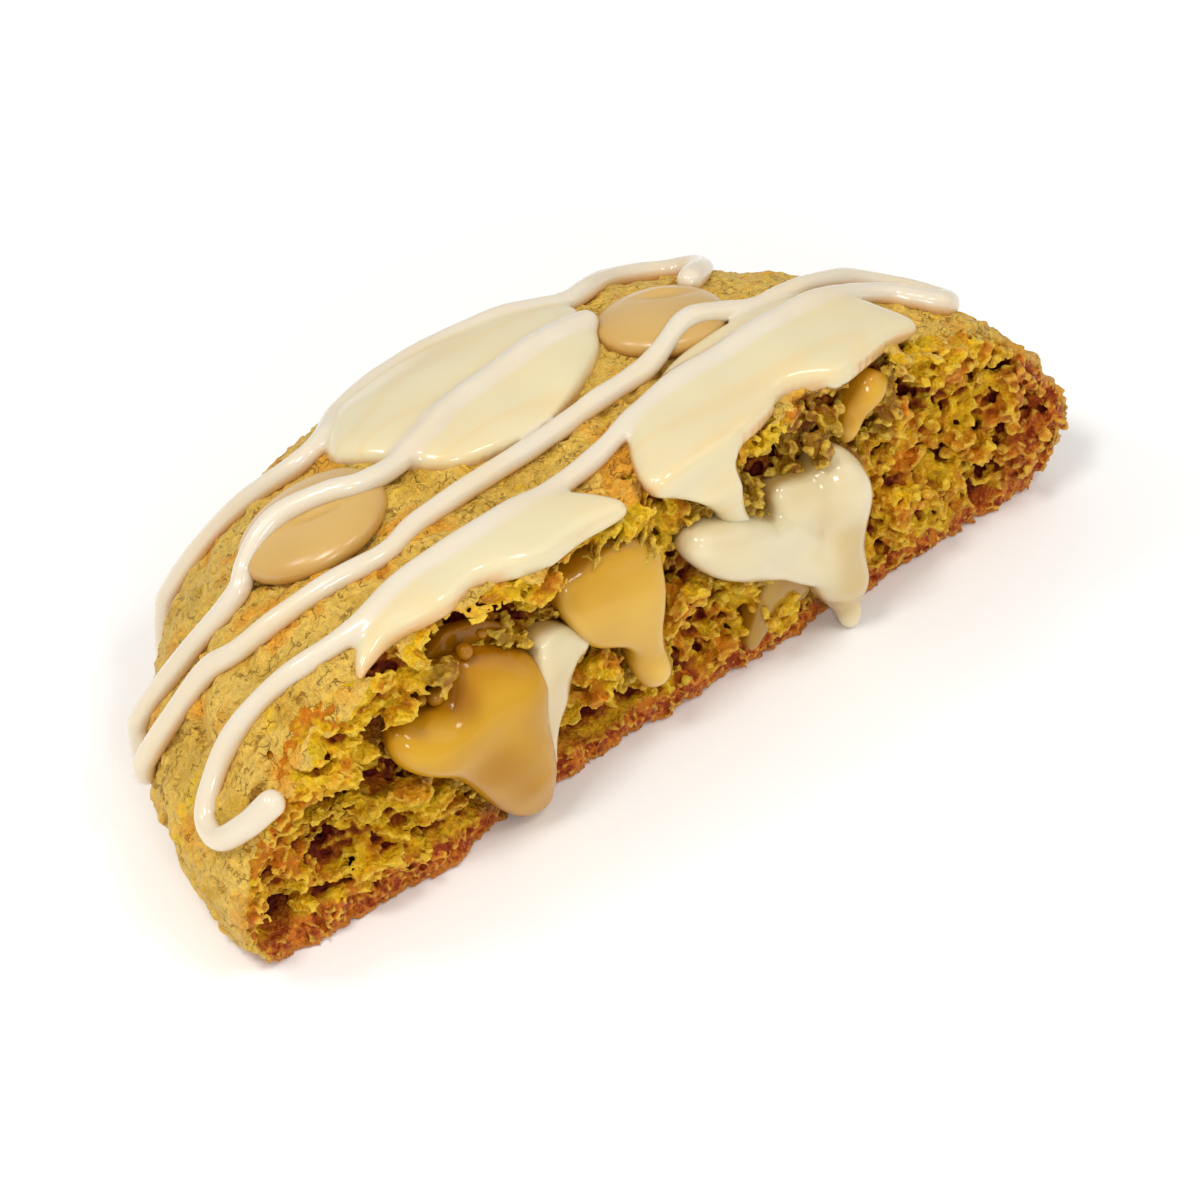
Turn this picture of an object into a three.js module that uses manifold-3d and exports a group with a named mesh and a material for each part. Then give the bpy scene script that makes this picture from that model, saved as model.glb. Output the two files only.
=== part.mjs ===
// Half of a thick, soft turmeric cookie that was torn across the middle: the dough, two caramel
// discs and three white pools sunk in its crust, one zigzag drizzle bead over them all, and the
// melted caramel and white fillings that well out of the torn face and run down it.
// Millimetres, +Z up. The tear runs along X and faces -Y, and the cookie rests on its flat base.
import * as THREE from 'three';
import { ImprovedNoise } from 'three/addons/math/ImprovedNoise.js';
import { mergeVertices } from 'three/addons/utils/BufferGeometryUtils.js';
import Module from 'manifold-3d';

const wasm = await Module();
wasm.setup();
const noise = new ImprovedNoise();

// The whole cookie, before the tear.
const HALF_WIDTH = 52;
const HALF_DEPTH = 48.7;
const CENTRE_Y = -3.1;
const THICKNESS = 29.5;
const WIDEST_Z = 10.4;
const DOME_POWER = 5;
const UNDERCUT = 0.06;
const BASE_SHARE = 0.9;
const SEGMENTS = 60;
const DOME_RINGS = 8;
const CRUST_SWELL = { coarse: 17, fine: 8, coarseRise: 0.7, fineRise: 0.3 };

// The tear, and the place of its plane in the part's frame.
const TEAR_Y = -21.4;
const TEAR_CELL = 3.2;
const TEAR_ROUGHNESS = { coarse: 8, fine: 3.6, coarseDepth: 1.1, fineDepth: 0.8 };
const FOOT = { reach: 1.6, recess: 1, height: 7, middle: -34, spread: 14 };
const CAVES = [
  { x: -46.5, z: 5, halfWidth: 2.6, halfHeight: 2.6, depth: 5 },
  { x: -37, z: 15.5, halfWidth: 4.6, halfHeight: 3.6, depth: 5 },
  { x: -40, z: 9.5, halfWidth: 4, halfHeight: 3, depth: 4 },
  { x: -22.5, z: 25, halfWidth: 5.5, halfHeight: 2.6, depth: 4 },
  { x: -9, z: 5.5, halfWidth: 4.4, halfHeight: 3.4, depth: 4.5 },
  { x: 2.5, z: 9, halfWidth: 4.6, halfHeight: 4, depth: 4.5 },
  { x: 12.5, z: 24.4, halfWidth: 4.2, halfHeight: 3, depth: 4.5 },
  { x: 32.5, z: 20, halfWidth: 3.8, halfHeight: 4, depth: 4 },
  { x: 41, z: 6.5, halfWidth: 2.8, halfHeight: 5.4, depth: 4 },
];

// Toppings and fillings.
const GAP = 0.3;
const FILLING_REACH = 14;
const BEAD = { radius: 1.2, lift: 0.7, sides: 6, pitch: 3.9 };
const BEAD_SAG = { reach: 3.2, samples: 5, intoPool: 1.1 };
const DISC = { halfThickness: 2.2, lift: 0.1 };
const DISCS = {
  left: { x: -26, y: 18.6, radius: 7.3 },
  right: { x: 15.1, y: 17.9, radius: 6.5 },
};
const POOL = { rise: 1.6, sink: 1.8, shoulder: 3 };
const COLUMNS = 18;
const ROWS = 6;

const POOL_OUTLINES = {
  back: [
    [-15.9, 29.8], [-19, 25], [-17, 19.4], [-12.9, 14.4], [-5.6, 12.8], [1.1, 14.2],
    [7.7, 18.1], [10.2, 23], [9.8, 27.4], [5, 30.6], [-3, 33], [-10.5, 32.8],
  ],
  right: [
    [-1.6, -0.6], [0, 5], [4.8, 8.9], [13.2, 12], [23, 12.1], [29.6, 10.1], [31.9, 4.1],
    [28.8, 1.3], [22, 0], [16, 0.2], [9.5, -0.4], [3, -1.4],
  ],
  front: [
    [-5.2, -0.4], [-9, 4.8], [-15.6, 7.1], [-24.3, 6.7], [-31, 5.6], [-34.4, 2],
    [-28, -0.9], [-22, 0.8], [-16.5, -1.4], [-11, -0.8],
  ],
};

// Patches on the torn face: outline points in X and Z, and how far the patch stands out of the
// face. A swell is a rounded drop at the end of a run.
const NECK = {
  outline: [
    [-1.9, 29.4], [0, 28.2], [2.3, 26.4], [4.2, 23.8], [5.6, 22.4], [7.2, 22.8], [6.9, 26],
    [7, 29.4], [2.5, 30.4],
  ],
  rise: 2.6,
  shoulder: 2.4,
  reach: 3,
};
const FLOWS = {
  caramel_flow_left: [{
    outline: [
      [-21.6, 22.4], [-27, 19], [-31.3, 18.6], [-32.2, 15.5], [-30.2, 11.8], [-26.3, 9],
      [-23.6, 5], [-21, 1.8], [-18.5, 1.5], [-17, 4], [-17.4, 9], [-18, 14], [-19.4, 20],
    ],
    rise: 2.4,
    shoulder: 4,
    swell: { x: -20, z: 4, radius: 4, rise: 1.2 },
  }],
  white_flow_left: [{
    outline: [
      [-13.7, 19.3], [-15.6, 17], [-16.8, 12], [-16, 8.2], [-14.4, 7.4], [-12.8, 10.5],
      [-11.4, 14], [-10.2, 16.8],
    ],
    rise: 1.4,
    shoulder: 2,
  }],
  caramel_flow_middle: [{
    outline: [
      [-3.6, 25], [-8, 24.6], [-12.4, 22.6], [-11.6, 19], [-8, 15.8], [-6.2, 12.4],
      [-5.8, 9.2], [-4.2, 7.4], [-2.6, 8.2], [-2.6, 12], [-1.8, 16], [-1.4, 22],
    ],
    rise: 2,
    shoulder: 3,
    swell: { x: -4.2, z: 9.4, radius: 2.6, rise: 1.2 },
  }],
  caramel_flow_right: [{
    outline: [[25.3, 26], [22, 24.7], [22, 21.6], [23.6, 20.4], [25.6, 22], [27.6, 24.4]],
    rise: 0.9,
    shoulder: 2,
  }],
  white_flow_right: [
    {
      outline: [
        [0.8, 19.6], [1.6, 17.6], [3.8, 16.2], [7.7, 14.4], [12.2, 10.6], [16, 8.4], [20, 12],
        [21.4, 18], [17, 20.6], [11, 19.4], [6.6, 20.6], [3, 21.4],
      ],
      rise: 2.4,
      shoulder: 4,
    },
    {
      outline: [
        [18.6, 21.6], [16, 17], [15, 10.4], [16.6, 6.6], [18, 3.6], [19.6, 1.2], [21.2, 0.9],
        [22.4, 2.8], [23, 7], [24, 14], [24.8, 18.4], [22, 21],
      ],
      rise: 2.6,
      shoulder: 3.4,
      swell: { x: 20.6, z: 3.4, radius: 3, rise: 1 },
    },
  ],
};

// The beads' routes seen from above. Past the crust's widest line, a point goes on down its side.
// The back run ends behind the right disc, and the front one starts beside it.
const DRIZZLE_ROUTES = {
  back: [
    [-36.8, 37.8], [-33.8, 36.9], [-30.6, 35.8], [-27.8, 34.2], [-24.2, 31.2], [-20.4, 28.3],
    [-17, 28.6], [-12.5, 31.2], [-3.5, 31.6], [4, 29.2], [9.6, 26.6], [13.5, 27.2], [18.5, 29.2],
    [23, 29], [26.2, 26.8], [25.4, 23.6], [22, 21.4],
  ],
  front: [
    [9, 21.6], [1.6, 21.2], [-7.9, 20.3], [-13.2, 19], [-20.3, 17.9], [-23.4, 19.5],
    [-27.7, 21.7], [-31.7, 21.4], [-34.2, 20.1], [-39.4, 21.5], [-43.6, 24.4], [-46.4, 23.4],
    [-47, 20.8], [-43.9, 18.2], [-40.2, 16.4], [-37.8, 13.9], [-30.4, 11.1], [-25, 9.8],
    [-19.7, 10.8], [-6.5, 11.5], [5.5, 12.2], [9.4, 12.6], [14.3, 14], [18.8, 13.4], [23.4, 12.5],
    [30.2, 12.8], [34.6, 13], [38, 11.4], [40.4, 8.8], [40.6, 6.2], [38.8, 5.2], [36.8, 6.8], [34.4, 8.6],
    [28.5, 9.1], [19, 8.4], [8.1, 8.1], [2.5, 7.5], [-4.7, 5.9], [-16.8, 4.6], [-26.9, 4.8],
    [-33.4, 4.6], [-40.9, 7.8], [-45.4, 8.9], [-49, 7.8], [-49.9, 4.9], [-48.4, 2.1],
    [-46.3, 0.4],
  ],
};

const FINISHES = {
  dough: { color: 0xc7a045, roughness: 0.75, metalness: 0 },
  caramel: { color: 0xd9a64f, roughness: 0.25, metalness: 0 },
  disc: { color: 0xd8ad68, roughness: 0.4, metalness: 0 },
  white: { color: 0xf2e4c4, roughness: 0.3, metalness: 0 },
};

function crustSwell(x, y) {
  const { coarse, fine, coarseRise, fineRise } = CRUST_SWELL;
  const slow = coarseRise * noise.noise(x / coarse, y / coarse, 0.3);
  return slow + fineRise * noise.noise(x / fine, y / fine, 5.7);
}

// The dome's height at a share of the way from the cookie's middle to its widest line.
function domeHeight(share) {
  return WIDEST_Z + (THICKNESS - WIDEST_Z) * (1 - share ** DOME_POWER);
}

// The crust at (x, y) seen from above. Beyond the widest line it folds down the side.
function crust(x, y) {
  const share = Math.hypot(x / HALF_WIDTH, (y - CENTRE_Y) / HALF_DEPTH);
  if (share <= 1) return new THREE.Vector3(x, y, domeHeight(share) + crustSwell(x, y));
  const z = Math.max(WIDEST_Z - (share - 1) * HALF_WIDTH, 0);
  const pull = sideShare(z) / share;
  return new THREE.Vector3(x * pull, CENTRE_Y + (y - CENTRE_Y) * pull, z + crustSwell(x, y));
}

function sideShare(z) {
  return 1 - UNDERCUT * (1 - z / WIDEST_Z) ** 2;
}

function crustNormal(x, y) {
  const step = 0.4;
  const alongX = crust(x + step, y).sub(crust(x - step, y));
  const alongY = crust(x, y + step).sub(crust(x, y - step));
  return alongX.cross(alongY).normalize();
}

function onCrust(x, y, out) {
  return crust(x, y).addScaledVector(crustNormal(x, y), out);
}

// A point out of the torn face at (x, z).
function onTear(x, z, out) {
  return new THREE.Vector3(x, footRecess(x, z) - out, z);
}

// Near the base the face draws back, but towards its left end it leans out.
function footRecess(x, z) {
  const along = Math.exp(-(((x - FOOT.middle) / FOOT.spread) ** 2));
  return (FOOT.recess - FOOT.reach * along) * Math.max(0, 1 - z / FOOT.height);
}

function tearDepth(x, z) {
  const { coarse, fine, coarseDepth, fineDepth } = TEAR_ROUGHNESS;
  let depth = footRecess(x, z) + coarseDepth * noise.noise(x / coarse, z / coarse, 1.9);
  depth += fineDepth * noise.noise(x / fine, z / fine, 8.2);
  for (const cave of CAVES) {
    const away = Math.hypot((x - cave.x) / cave.halfWidth, (z - cave.z) / cave.halfHeight);
    depth += cave.depth * Math.max(0, 1 - away * away);
  }
  return depth;
}

// A closed outline through a few points, turned so that it runs counter-clockwise.
class Outline {
  constructor(points, grow = 0) {
    const corners = points.map(([u, v]) => new THREE.Vector2(u, v));
    if (THREE.ShapeUtils.isClockWise(corners)) corners.reverse();
    const curve = new THREE.CatmullRomCurve3(corners.map((c) => new THREE.Vector3(c.x, c.y, 0)), true);
    this.ring = curve.getSpacedPoints(COLUMNS).slice(0, COLUMNS);
    this.ring = this.ring.map((p) => new THREE.Vector2(p.x, p.y));
    this.ring = this.ring.map((p, k) => p.clone().addScaledVector(this.outward(k), grow));
    this.centre = this.ring.reduce((sum, p) => sum.add(p), new THREE.Vector2());
    this.centre.divideScalar(COLUMNS);
  }

  outward(k) {
    const before = this.ring[(k + COLUMNS - 1) % COLUMNS];
    const after = this.ring[(k + 1) % COLUMNS];
    return new THREE.Vector2(after.y - before.y, before.x - after.x).normalize();
  }

  // Distance from a point to the outline, positive inside.
  inset(point) {
    let nearest = Infinity;
    let inside = false;
    this.ring.forEach((a, k) => {
      const b = this.ring[(k + 1) % COLUMNS];
      const side = b.clone().sub(a);
      const along = THREE.MathUtils.clamp(point.clone().sub(a).dot(side) / side.lengthSq(), 0, 1);
      nearest = Math.min(nearest, point.distanceTo(a.clone().addScaledVector(side, along)));
      const crosses = a.y > point.y !== b.y > point.y;
      if (crosses && point.x < a.x + ((point.y - a.y) * side.x) / side.y) inside = !inside;
    });
    return inside ? nearest : -nearest;
  }
}

// How far a melted patch stands out: it climbs over its shoulder and is level inside it.
function meltRise(patch, outline, point) {
  const climb = THREE.MathUtils.clamp(outline.inset(point) / patch.shoulder, 0, 1);
  let rise = patch.rise * Math.sqrt(1 - (1 - climb) ** 2);
  if (patch.swell) {
    const away = Math.hypot(point.x - patch.swell.x, point.y - patch.swell.z) / patch.swell.radius;
    rise += patch.swell.rise * Math.max(0, 1 - away * away);
  }
  return rise;
}

// A closed lens over an outline: its upper half follows the melt, and its lower half sinks in.
function meltSolid(patch, place, grow) {
  const outline = new Outline(patch.outline, grow);
  const lens = new THREE.SphereGeometry(1, COLUMNS, ROWS);
  lens.rotateX(Math.PI / 2);
  moveVertices(lens, (p) => {
    const share = Math.min(Math.hypot(p.x, p.y), 1);
    const column = Math.round((Math.atan2(p.y, p.x) / (2 * Math.PI)) * COLUMNS);
    const edge = outline.ring[(column + COLUMNS) % COLUMNS];
    const point = outline.centre.clone().lerp(edge, share);
    const depth = patch.reach * Math.sqrt(1 - share * share) + grow;
    const onEdge = share > 0.999;
    const out = p.z > 0 ? meltRise(patch, outline, point) + grow : -depth;
    return place(point.x, point.y, onEdge ? 0 : out);
  });
  return solid(lens);
}

function moveVertices(geometry, move) {
  const positions = geometry.attributes.position;
  const point = new THREE.Vector3();
  for (let i = 0; i < positions.count; i += 1) {
    point.fromBufferAttribute(positions, i);
    positions.setXYZ(i, ...move(point));
  }
}

function solid(geometry) {
  geometry.deleteAttribute('normal');
  geometry.deleteAttribute('uv');
  const merged = mergeVertices(geometry, 1e-4);
  const vertProperties = new Float32Array(merged.attributes.position.array);
  const triVerts = new Uint32Array(merged.index.array);
  return new wasm.Manifold(new wasm.Mesh({ numProp: 3, vertProperties, triVerts }));
}

function largestBody(body) {
  return body.decompose().reduce((best, next) => (next.volume() > best.volume() ? next : best));
}

function cut(body, cutters) {
  return largestBody(cutters.reduce((left, cutter) => left.subtract(cutter), body));
}

function wholeCookie() {
  const points = [new THREE.Vector2(0, 0), new THREE.Vector2(BASE_SHARE, 0)];
  for (const z of [1.2, 3.6, 6.6]) points.push(new THREE.Vector2(sideShare(z), z));
  for (let ring = 0; ring < DOME_RINGS; ring += 1) {
    const share = Math.cos((ring / DOME_RINGS) * (Math.PI / 2)) ** 0.6;
    points.push(new THREE.Vector2(share, domeHeight(share)));
  }
  points.push(new THREE.Vector2(0, THICKNESS));
  const lathe = new THREE.LatheGeometry(points, SEGMENTS);
  lathe.rotateX(Math.PI / 2);
  moveVertices(lathe, (p) => {
    const x = p.x * HALF_WIDTH;
    const y = CENTRE_Y + p.y * HALF_DEPTH;
    const swell = p.z > 0 ? crustSwell(x, y) * Math.min(1, p.z / WIDEST_Z) : 0;
    return [x, y, p.z + swell];
  });
  return solid(lathe);
}

// Everything in front of the torn face.
function tornAway() {
  const width = 2 * HALF_WIDTH + 16;
  const height = THICKNESS + 16;
  const front = 70;
  const across = Math.round(width / TEAR_CELL);
  const up = Math.round(height / TEAR_CELL);
  const block = new THREE.BoxGeometry(width, front, height, across, 1, up);
  block.translate(0, -front / 2, height / 2 - 8);
  moveVertices(block, (p) => (p.y < -1 ? [...p] : [p.x, tearDepth(p.x, p.z), p.z]));
  return solid(block);
}

function poolPatch(outline) {
  return { outline, rise: POOL.rise, shoulder: POOL.shoulder, reach: POOL.sink };
}

function poolSolid(name, grow) {
  const pool = meltSolid(poolPatch(POOL_OUTLINES[name]), onCrust, grow);
  return name === 'right' ? pool.add(meltSolid(NECK, onTear, grow)) : pool;
}

function flowSolid(patches, grow) {
  const lenses = patches.map((patch) => meltSolid({ reach: FILLING_REACH, ...patch }, onTear, grow));
  return lenses.reduce((all, lens) => all.add(lens));
}

function discSolid({ x, y, radius }, grow) {
  const disc = new THREE.SphereGeometry(1, COLUMNS, ROWS);
  disc.rotateX(Math.PI / 2);
  disc.scale(radius + grow, radius + grow, DISC.halfThickness + grow);
  const tilt = new THREE.Quaternion();
  tilt.setFromUnitVectors(new THREE.Vector3(0, 0, 1), crustNormal(x, y));
  disc.applyQuaternion(tilt);
  disc.translate(...onCrust(x, y, DISC.lift));
  return solid(disc);
}

// How far the toppings under a bead lift it off the bare crust: it melts into a pool.
function toppingRise(x, y) {
  const point = new THREE.Vector2(x, y);
  const rises = Object.values(POOL_OUTLINES).map((outline) => {
    const rise = meltRise(poolPatch(outline), new Outline(outline), point);
    return Math.max(0, rise - BEAD_SAG.intoPool);
  });
  for (const disc of Object.values(DISCS)) {
    const away = Math.min(1, Math.hypot(x - disc.x, y - disc.y) / disc.radius);
    rises.push(DISC.halfThickness * Math.sqrt(1 - away * away));
  }
  return Math.max(...rises);
}

// A bead's middle line over the toppings, run on past both ends by a small length.
class DrizzlePath extends THREE.Curve {
  constructor(route, overrun) {
    super();
    this.overrun = overrun;
    this.plan = new THREE.CatmullRomCurve3(route.map(([x, y]) => new THREE.Vector3(x, y, 0)));
    this.planLength = this.plan.getLength();
  }

  getPoint(t) {
    const { x, y } = this.plan.getPoint(t);
    let rise = 0;
    for (let k = 0; k < BEAD_SAG.samples; k += 1) {
      const ahead = (k / (BEAD_SAG.samples - 1) - 0.5) * (2 * BEAD_SAG.reach / this.planLength);
      const beside = this.plan.getPoint(THREE.MathUtils.clamp(t + ahead, 0, 1));
      rise += toppingRise(beside.x, beside.y) / BEAD_SAG.samples;
    }
    return onCrust(x, y, BEAD.lift + rise);
  }

  getPointAt(u) {
    const point = super.getPointAt(u);
    if (u > 0 && u < 1) return point;
    return point.addScaledVector(this.getTangent(u), u > 0 ? this.overrun : -this.overrun);
  }
}

function drizzleSolid(route, grow) {
  const path = new DrizzlePath(route, grow);
  const radius = BEAD.radius + grow;
  const corners = [];
  for (let k = 0; k < BEAD.sides; k += 1) {
    const angle = (k / BEAD.sides) * 2 * Math.PI;
    corners.push(new THREE.Vector2(radius * Math.cos(angle), radius * Math.sin(angle)));
  }
  const steps = Math.round(path.planLength / BEAD.pitch);
  const options = { steps, extrudePath: path, bevelEnabled: false };
  return solid(new THREE.ExtrudeGeometry(new THREE.Shape(corners), options));
}

function addNode(name, body, finish) {
  const { vertProperties, triVerts } = body.getMesh();
  const geometry = new THREE.BufferGeometry();
  geometry.setAttribute('position', new THREE.BufferAttribute(vertProperties, 3));
  geometry.setIndex(new THREE.BufferAttribute(triVerts, 1));
  geometry.computeVertexNormals();
  const mesh = new THREE.Mesh(geometry, new THREE.MeshStandardMaterial(finish));
  mesh.name = name;
  cookie.add(mesh);
}

const cookie = new THREE.Group();
cookie.position.y = TEAR_Y;

function mapValues(table, make) {
  return Object.fromEntries(Object.entries(table).map(([key, value]) => [key, make(key, value)]));
}

// Each topping and filling lies in a bed a little larger than itself.
const drizzleBeds = mapValues(DRIZZLE_ROUTES, (run, route) => drizzleSolid(route, GAP));
const discBeds = mapValues(DISCS, (side, disc) => discSolid(disc, GAP));
const poolBeds = mapValues(POOL_OUTLINES, (name) => poolSolid(name, GAP));
const flowBeds = mapValues(FLOWS, (name, patches) => flowSolid(patches, GAP));
const flowNeighbours = {
  white_flow_left: [flowBeds.caramel_flow_left],
  caramel_flow_right: [flowBeds.white_flow_right],
  white_flow_right: [poolBeds.right],
};

const beads = Object.values(drizzleBeds);
const discs = Object.values(discBeds);
const fillings = Object.values(flowBeds);
const beds = [...beads, ...discs, ...Object.values(poolBeds), ...fillings];
addNode('dough', cut(wholeCookie(), [tornAway(), ...beds]), FINISHES.dough);
for (const [run, route] of Object.entries(DRIZZLE_ROUTES)) {
  addNode(`white_drizzle_${run}`, drizzleSolid(route, 0), FINISHES.white);
}
for (const [side, disc] of Object.entries(DISCS)) {
  addNode(`caramel_disc_${side}`, cut(discSolid(disc, 0), beads), FINISHES.disc);
}
for (const name of Object.keys(POOL_OUTLINES)) {
  addNode(`white_pool_${name}`, cut(poolSolid(name, 0), [...beads, ...discs]), FINISHES.white);
}
for (const [name, patches] of Object.entries(FLOWS)) {
  const finish = name.startsWith('white') ? FINISHES.white : FINISHES.caramel;
  addNode(name, cut(flowSolid(patches, 0), flowNeighbours[name] ?? []), finish);
}

export default cookie;
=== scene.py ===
"""Looks for half of a thick, soft turmeric cookie that was torn across its middle.

Shapes are made as fields on fine grids and turned into meshes: the porous crumb of the tear, the
wrinkled crust, the white icing, and the melted fillings. They are worked out in millimetres in
the cookie's own frame, where the tear runs along X at y = 0 and faces -Y, and every mesh is
moved into the part's frame, in metres, when it is made.
"""

import logging
import math
from collections.abc import Callable, Sequence
from dataclasses import dataclass, field
from enum import Enum

import bpy
import numpy as np
import openvdb
from mathutils import Matrix, Vector

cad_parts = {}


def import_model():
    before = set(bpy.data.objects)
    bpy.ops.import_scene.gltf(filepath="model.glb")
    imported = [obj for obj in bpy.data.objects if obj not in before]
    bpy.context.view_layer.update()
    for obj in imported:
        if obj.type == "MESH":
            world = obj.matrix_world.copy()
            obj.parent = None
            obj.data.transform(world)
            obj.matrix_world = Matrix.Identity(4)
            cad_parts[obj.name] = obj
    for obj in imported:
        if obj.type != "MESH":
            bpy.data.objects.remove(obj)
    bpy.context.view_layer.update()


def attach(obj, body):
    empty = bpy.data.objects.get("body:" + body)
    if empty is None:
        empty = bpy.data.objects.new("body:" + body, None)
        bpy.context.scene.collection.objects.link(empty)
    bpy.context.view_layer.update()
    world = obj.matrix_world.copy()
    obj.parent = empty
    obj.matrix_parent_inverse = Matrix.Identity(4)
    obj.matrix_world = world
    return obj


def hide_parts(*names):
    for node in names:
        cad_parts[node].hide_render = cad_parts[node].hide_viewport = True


logging.basicConfig(level=logging.INFO, format="%(name)s: %(message)s")
log = logging.getLogger("cookie")

Array = np.ndarray
Place = tuple[float, float]
Outline = tuple[Place, ...]
Triple = tuple[float, float, float]
Round = tuple[float, float, float, float]  # two coordinates, and two sizes of what lies there
Streak = tuple[Place, Place, float, float]  # two ends, a width and a strength
Screen = tuple[int, int, int]  # red, green and blue, 0 to 255
Colour = tuple[float, float, float, float]

MM = 0.001
TEAR_Y = -21.4  # where the tear's plane stands in the part's frame
FAR = 3  # the distance past which a field only needs to say inside or outside
ROOT = "root"


class Slot(str, Enum):
    """Names of material slots; each flow holds one."""

    DOUGH = "dough"
    ICING = "white_icing"
    DISC = "caramel_disc"
    CARAMEL = "caramel_flow"
    WHITE_FLOW = "white_flow"


class Mask(str, Enum):
    """Values kept on a mesh's points, which its material reads."""

    # Painted shade: how far a point lies in a hollow, pit, groove and painted shade streak; the
    # finishes darken or warm the colour there.
    PAINTED_SHADE = "painted_shade"
    # Painted highlight: how sharp a convex lip is; the crumb is painted pale there.
    EDGE_HIGHLIGHT = "edge"
    GRAIN = "grain"
    BROWN = "brown"
    WET = "wet"
    # How far a point stands off what it lies on; the sweets' finishes paint shade where they meet it.
    LIFT = "lift"
    # The icing's pools against its beads; on flows and discs, painted light on raised parts and rims.
    SPREAD_AND_PAINTED_LIGHT = "spread"
    TORN = "torn"


# ---- Numbers: noise, cells and blends ----


def scramble(x: Array, y: Array, z: Array, seed: int) -> Array:
    """Random bits for whole-numbered corners, the same on every run.

    Args:
        x, y, z: The corners' coordinates, as arrays that broadcast together.
        seed: Picks another set of bits.

    Returns:
        An array of 32-bit numbers.
    """
    a, b, c = (np.asarray(v, np.float32).astype(np.int32).view(np.uint32) for v in (x, y, z))
    bits = a * np.uint32(0x9E3779B1) ^ b * np.uint32(0x85EBCA77) ^ c * np.uint32(0xC2B2AE3D)
    bits = bits + np.uint32((seed * 0x27D4EB2F) & 0xFFFFFFFF)
    bits = (bits ^ (bits >> np.uint32(15))) * np.uint32(0x2C1B3C6D)
    bits = (bits ^ (bits >> np.uint32(12))) * np.uint32(0x297A2D39)
    return bits ^ (bits >> np.uint32(15))


def luck(bits: Array, digit: int) -> Array:
    """One of three independent shares from 0 to 1 in some random bits."""
    return ((bits >> np.uint32(10 * digit)) & np.uint32(1023)).astype(np.float32) / 1023


def noise(x: Array, y: Array, z: Array, seed: int = 0) -> Array:
    """Smooth gradient noise, about -1 to 1, with lumps about one unit across.

    Args:
        x, y, z: Coordinates that broadcast together.
        seed: Picks another pattern.

    Returns:
        The noise at each point.
    """
    places = [np.asarray(v, np.float32) for v in (x, y, z)]
    corners = [np.floor(v) for v in places]
    inside = [v - c for v, c in zip(places, corners)]
    eased = [t * t * t * (t * (t * 6 - 15) + 10) for t in inside]
    total = np.float32(0)
    for step in np.ndindex(2, 2, 2):
        bits = scramble(*(c + s for c, s in zip(corners, step)), seed)
        weight, reach = np.float32(1), np.float32(0)
        for axis in range(3):
            reach = reach + (luck(bits, axis) * 2 - 1) * (inside[axis] - step[axis])
            weight = weight * (eased[axis] if step[axis] else 1 - eased[axis])
        total = total + weight * reach
    return total * np.float32(1.5)


def lumps(x: Array, y: Array, z: Array, size: float, seed: int) -> Array:
    """Noise with lumps of this size in millimetres."""
    return noise(x / size, y / size, z / size, seed)


def fractal(x: Array, y: Array, z: Array, size: float, octaves: int, seed: int) -> Array:
    """Noise summed over octaves, each half the size and half the strength of the one before.

    Args:
        x, y, z: Coordinates in millimetres.
        size: The largest lump, in millimetres.
        octaves: How many are summed.
        seed: Picks another pattern.

    Returns:
        The sum at each point.
    """
    total = np.float32(0)
    for k in range(octaves):
        scale = np.float32(2**k / size)
        total = total + noise(x * scale, y * scale, z * scale, seed + k) * np.float32(0.5**k)
    return total


def ramp(value: Array, start: float, end: float) -> Array:
    """Goes smoothly from 0 at start to 1 at end."""
    t = np.clip((value - start) / (end - start), 0, 1)
    return t * t * (3 - 2 * t)


def bump(x: Array, middle: float, spread: float) -> Array:
    """A bell of height 1 round middle."""
    return np.exp(-(((x - middle) / spread) ** 2))


def melt(a: Array, b: Array, radius: float) -> Array:
    """Joins two fields, with a fillet of about this radius where they meet."""
    share = np.clip(0.5 + 0.5 * (b - a) / radius, 0, 1)
    return b + (a - b) * share - radius * share * (1 - share)


def carve(a: Array, b: Array, radius: float) -> Array:
    """Keeps what lies in both fields, with an edge rounded to about this radius."""
    return -melt(-a, -b, radius)


def cell_field(
    places: Sequence[Array],
    sizes: Triple,
    seed: int,
    keeps: Callable[[Array, Array, Array, Array], Array],
) -> tuple[Array, Array]:
    """Splits space into crumbs, some kept and some lost, and measures the edge between them.

    Args:
        places: The points' X, Y and Z, flat arrays.
        sizes: A crumb's mean size along each axis.
        seed: Picks another set of crumbs.
        keeps: Says which crumbs are kept, from their middles and a random share each.

    Returns:
        The distance into the kept crumbs, negative outside them, and the nearest kept crumb's
        own random share.
    """
    far = np.float32(9)
    kept = np.full(places[0].shape, far, np.float32)
    lost = kept.copy()
    grain = np.zeros_like(kept)
    scale = np.float32(sum(sizes) / 3)
    home = [np.floor(p / np.float32(s)) for p, s in zip(places, sizes)]
    for step in np.ndindex(3, 3, 3):
        corner = [h + (s - 1) for h, s in zip(home, step)]
        bits = scramble(*corner, seed)
        shares = [luck(bits, k) for k in range(3)]
        middle = [(c + t) * np.float32(s) for c, t, s in zip(corner, shares, sizes)]
        away = sum(((p - m) / np.float32(s)) ** 2 for p, m, s in zip(places, middle, sizes))
        away = np.sqrt(away) * scale
        chance = scramble(*corner, seed + 1)
        stays = keeps(*middle, luck(chance, 0))
        here = np.where(stays, away, far)
        grain = np.where(here < kept, luck(chance, 1), grain)
        kept = np.minimum(kept, here)
        lost = np.minimum(lost, np.where(stays, far, away))
    return (lost - kept) / 2, grain


# ---- Curves and outlines ----


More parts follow.
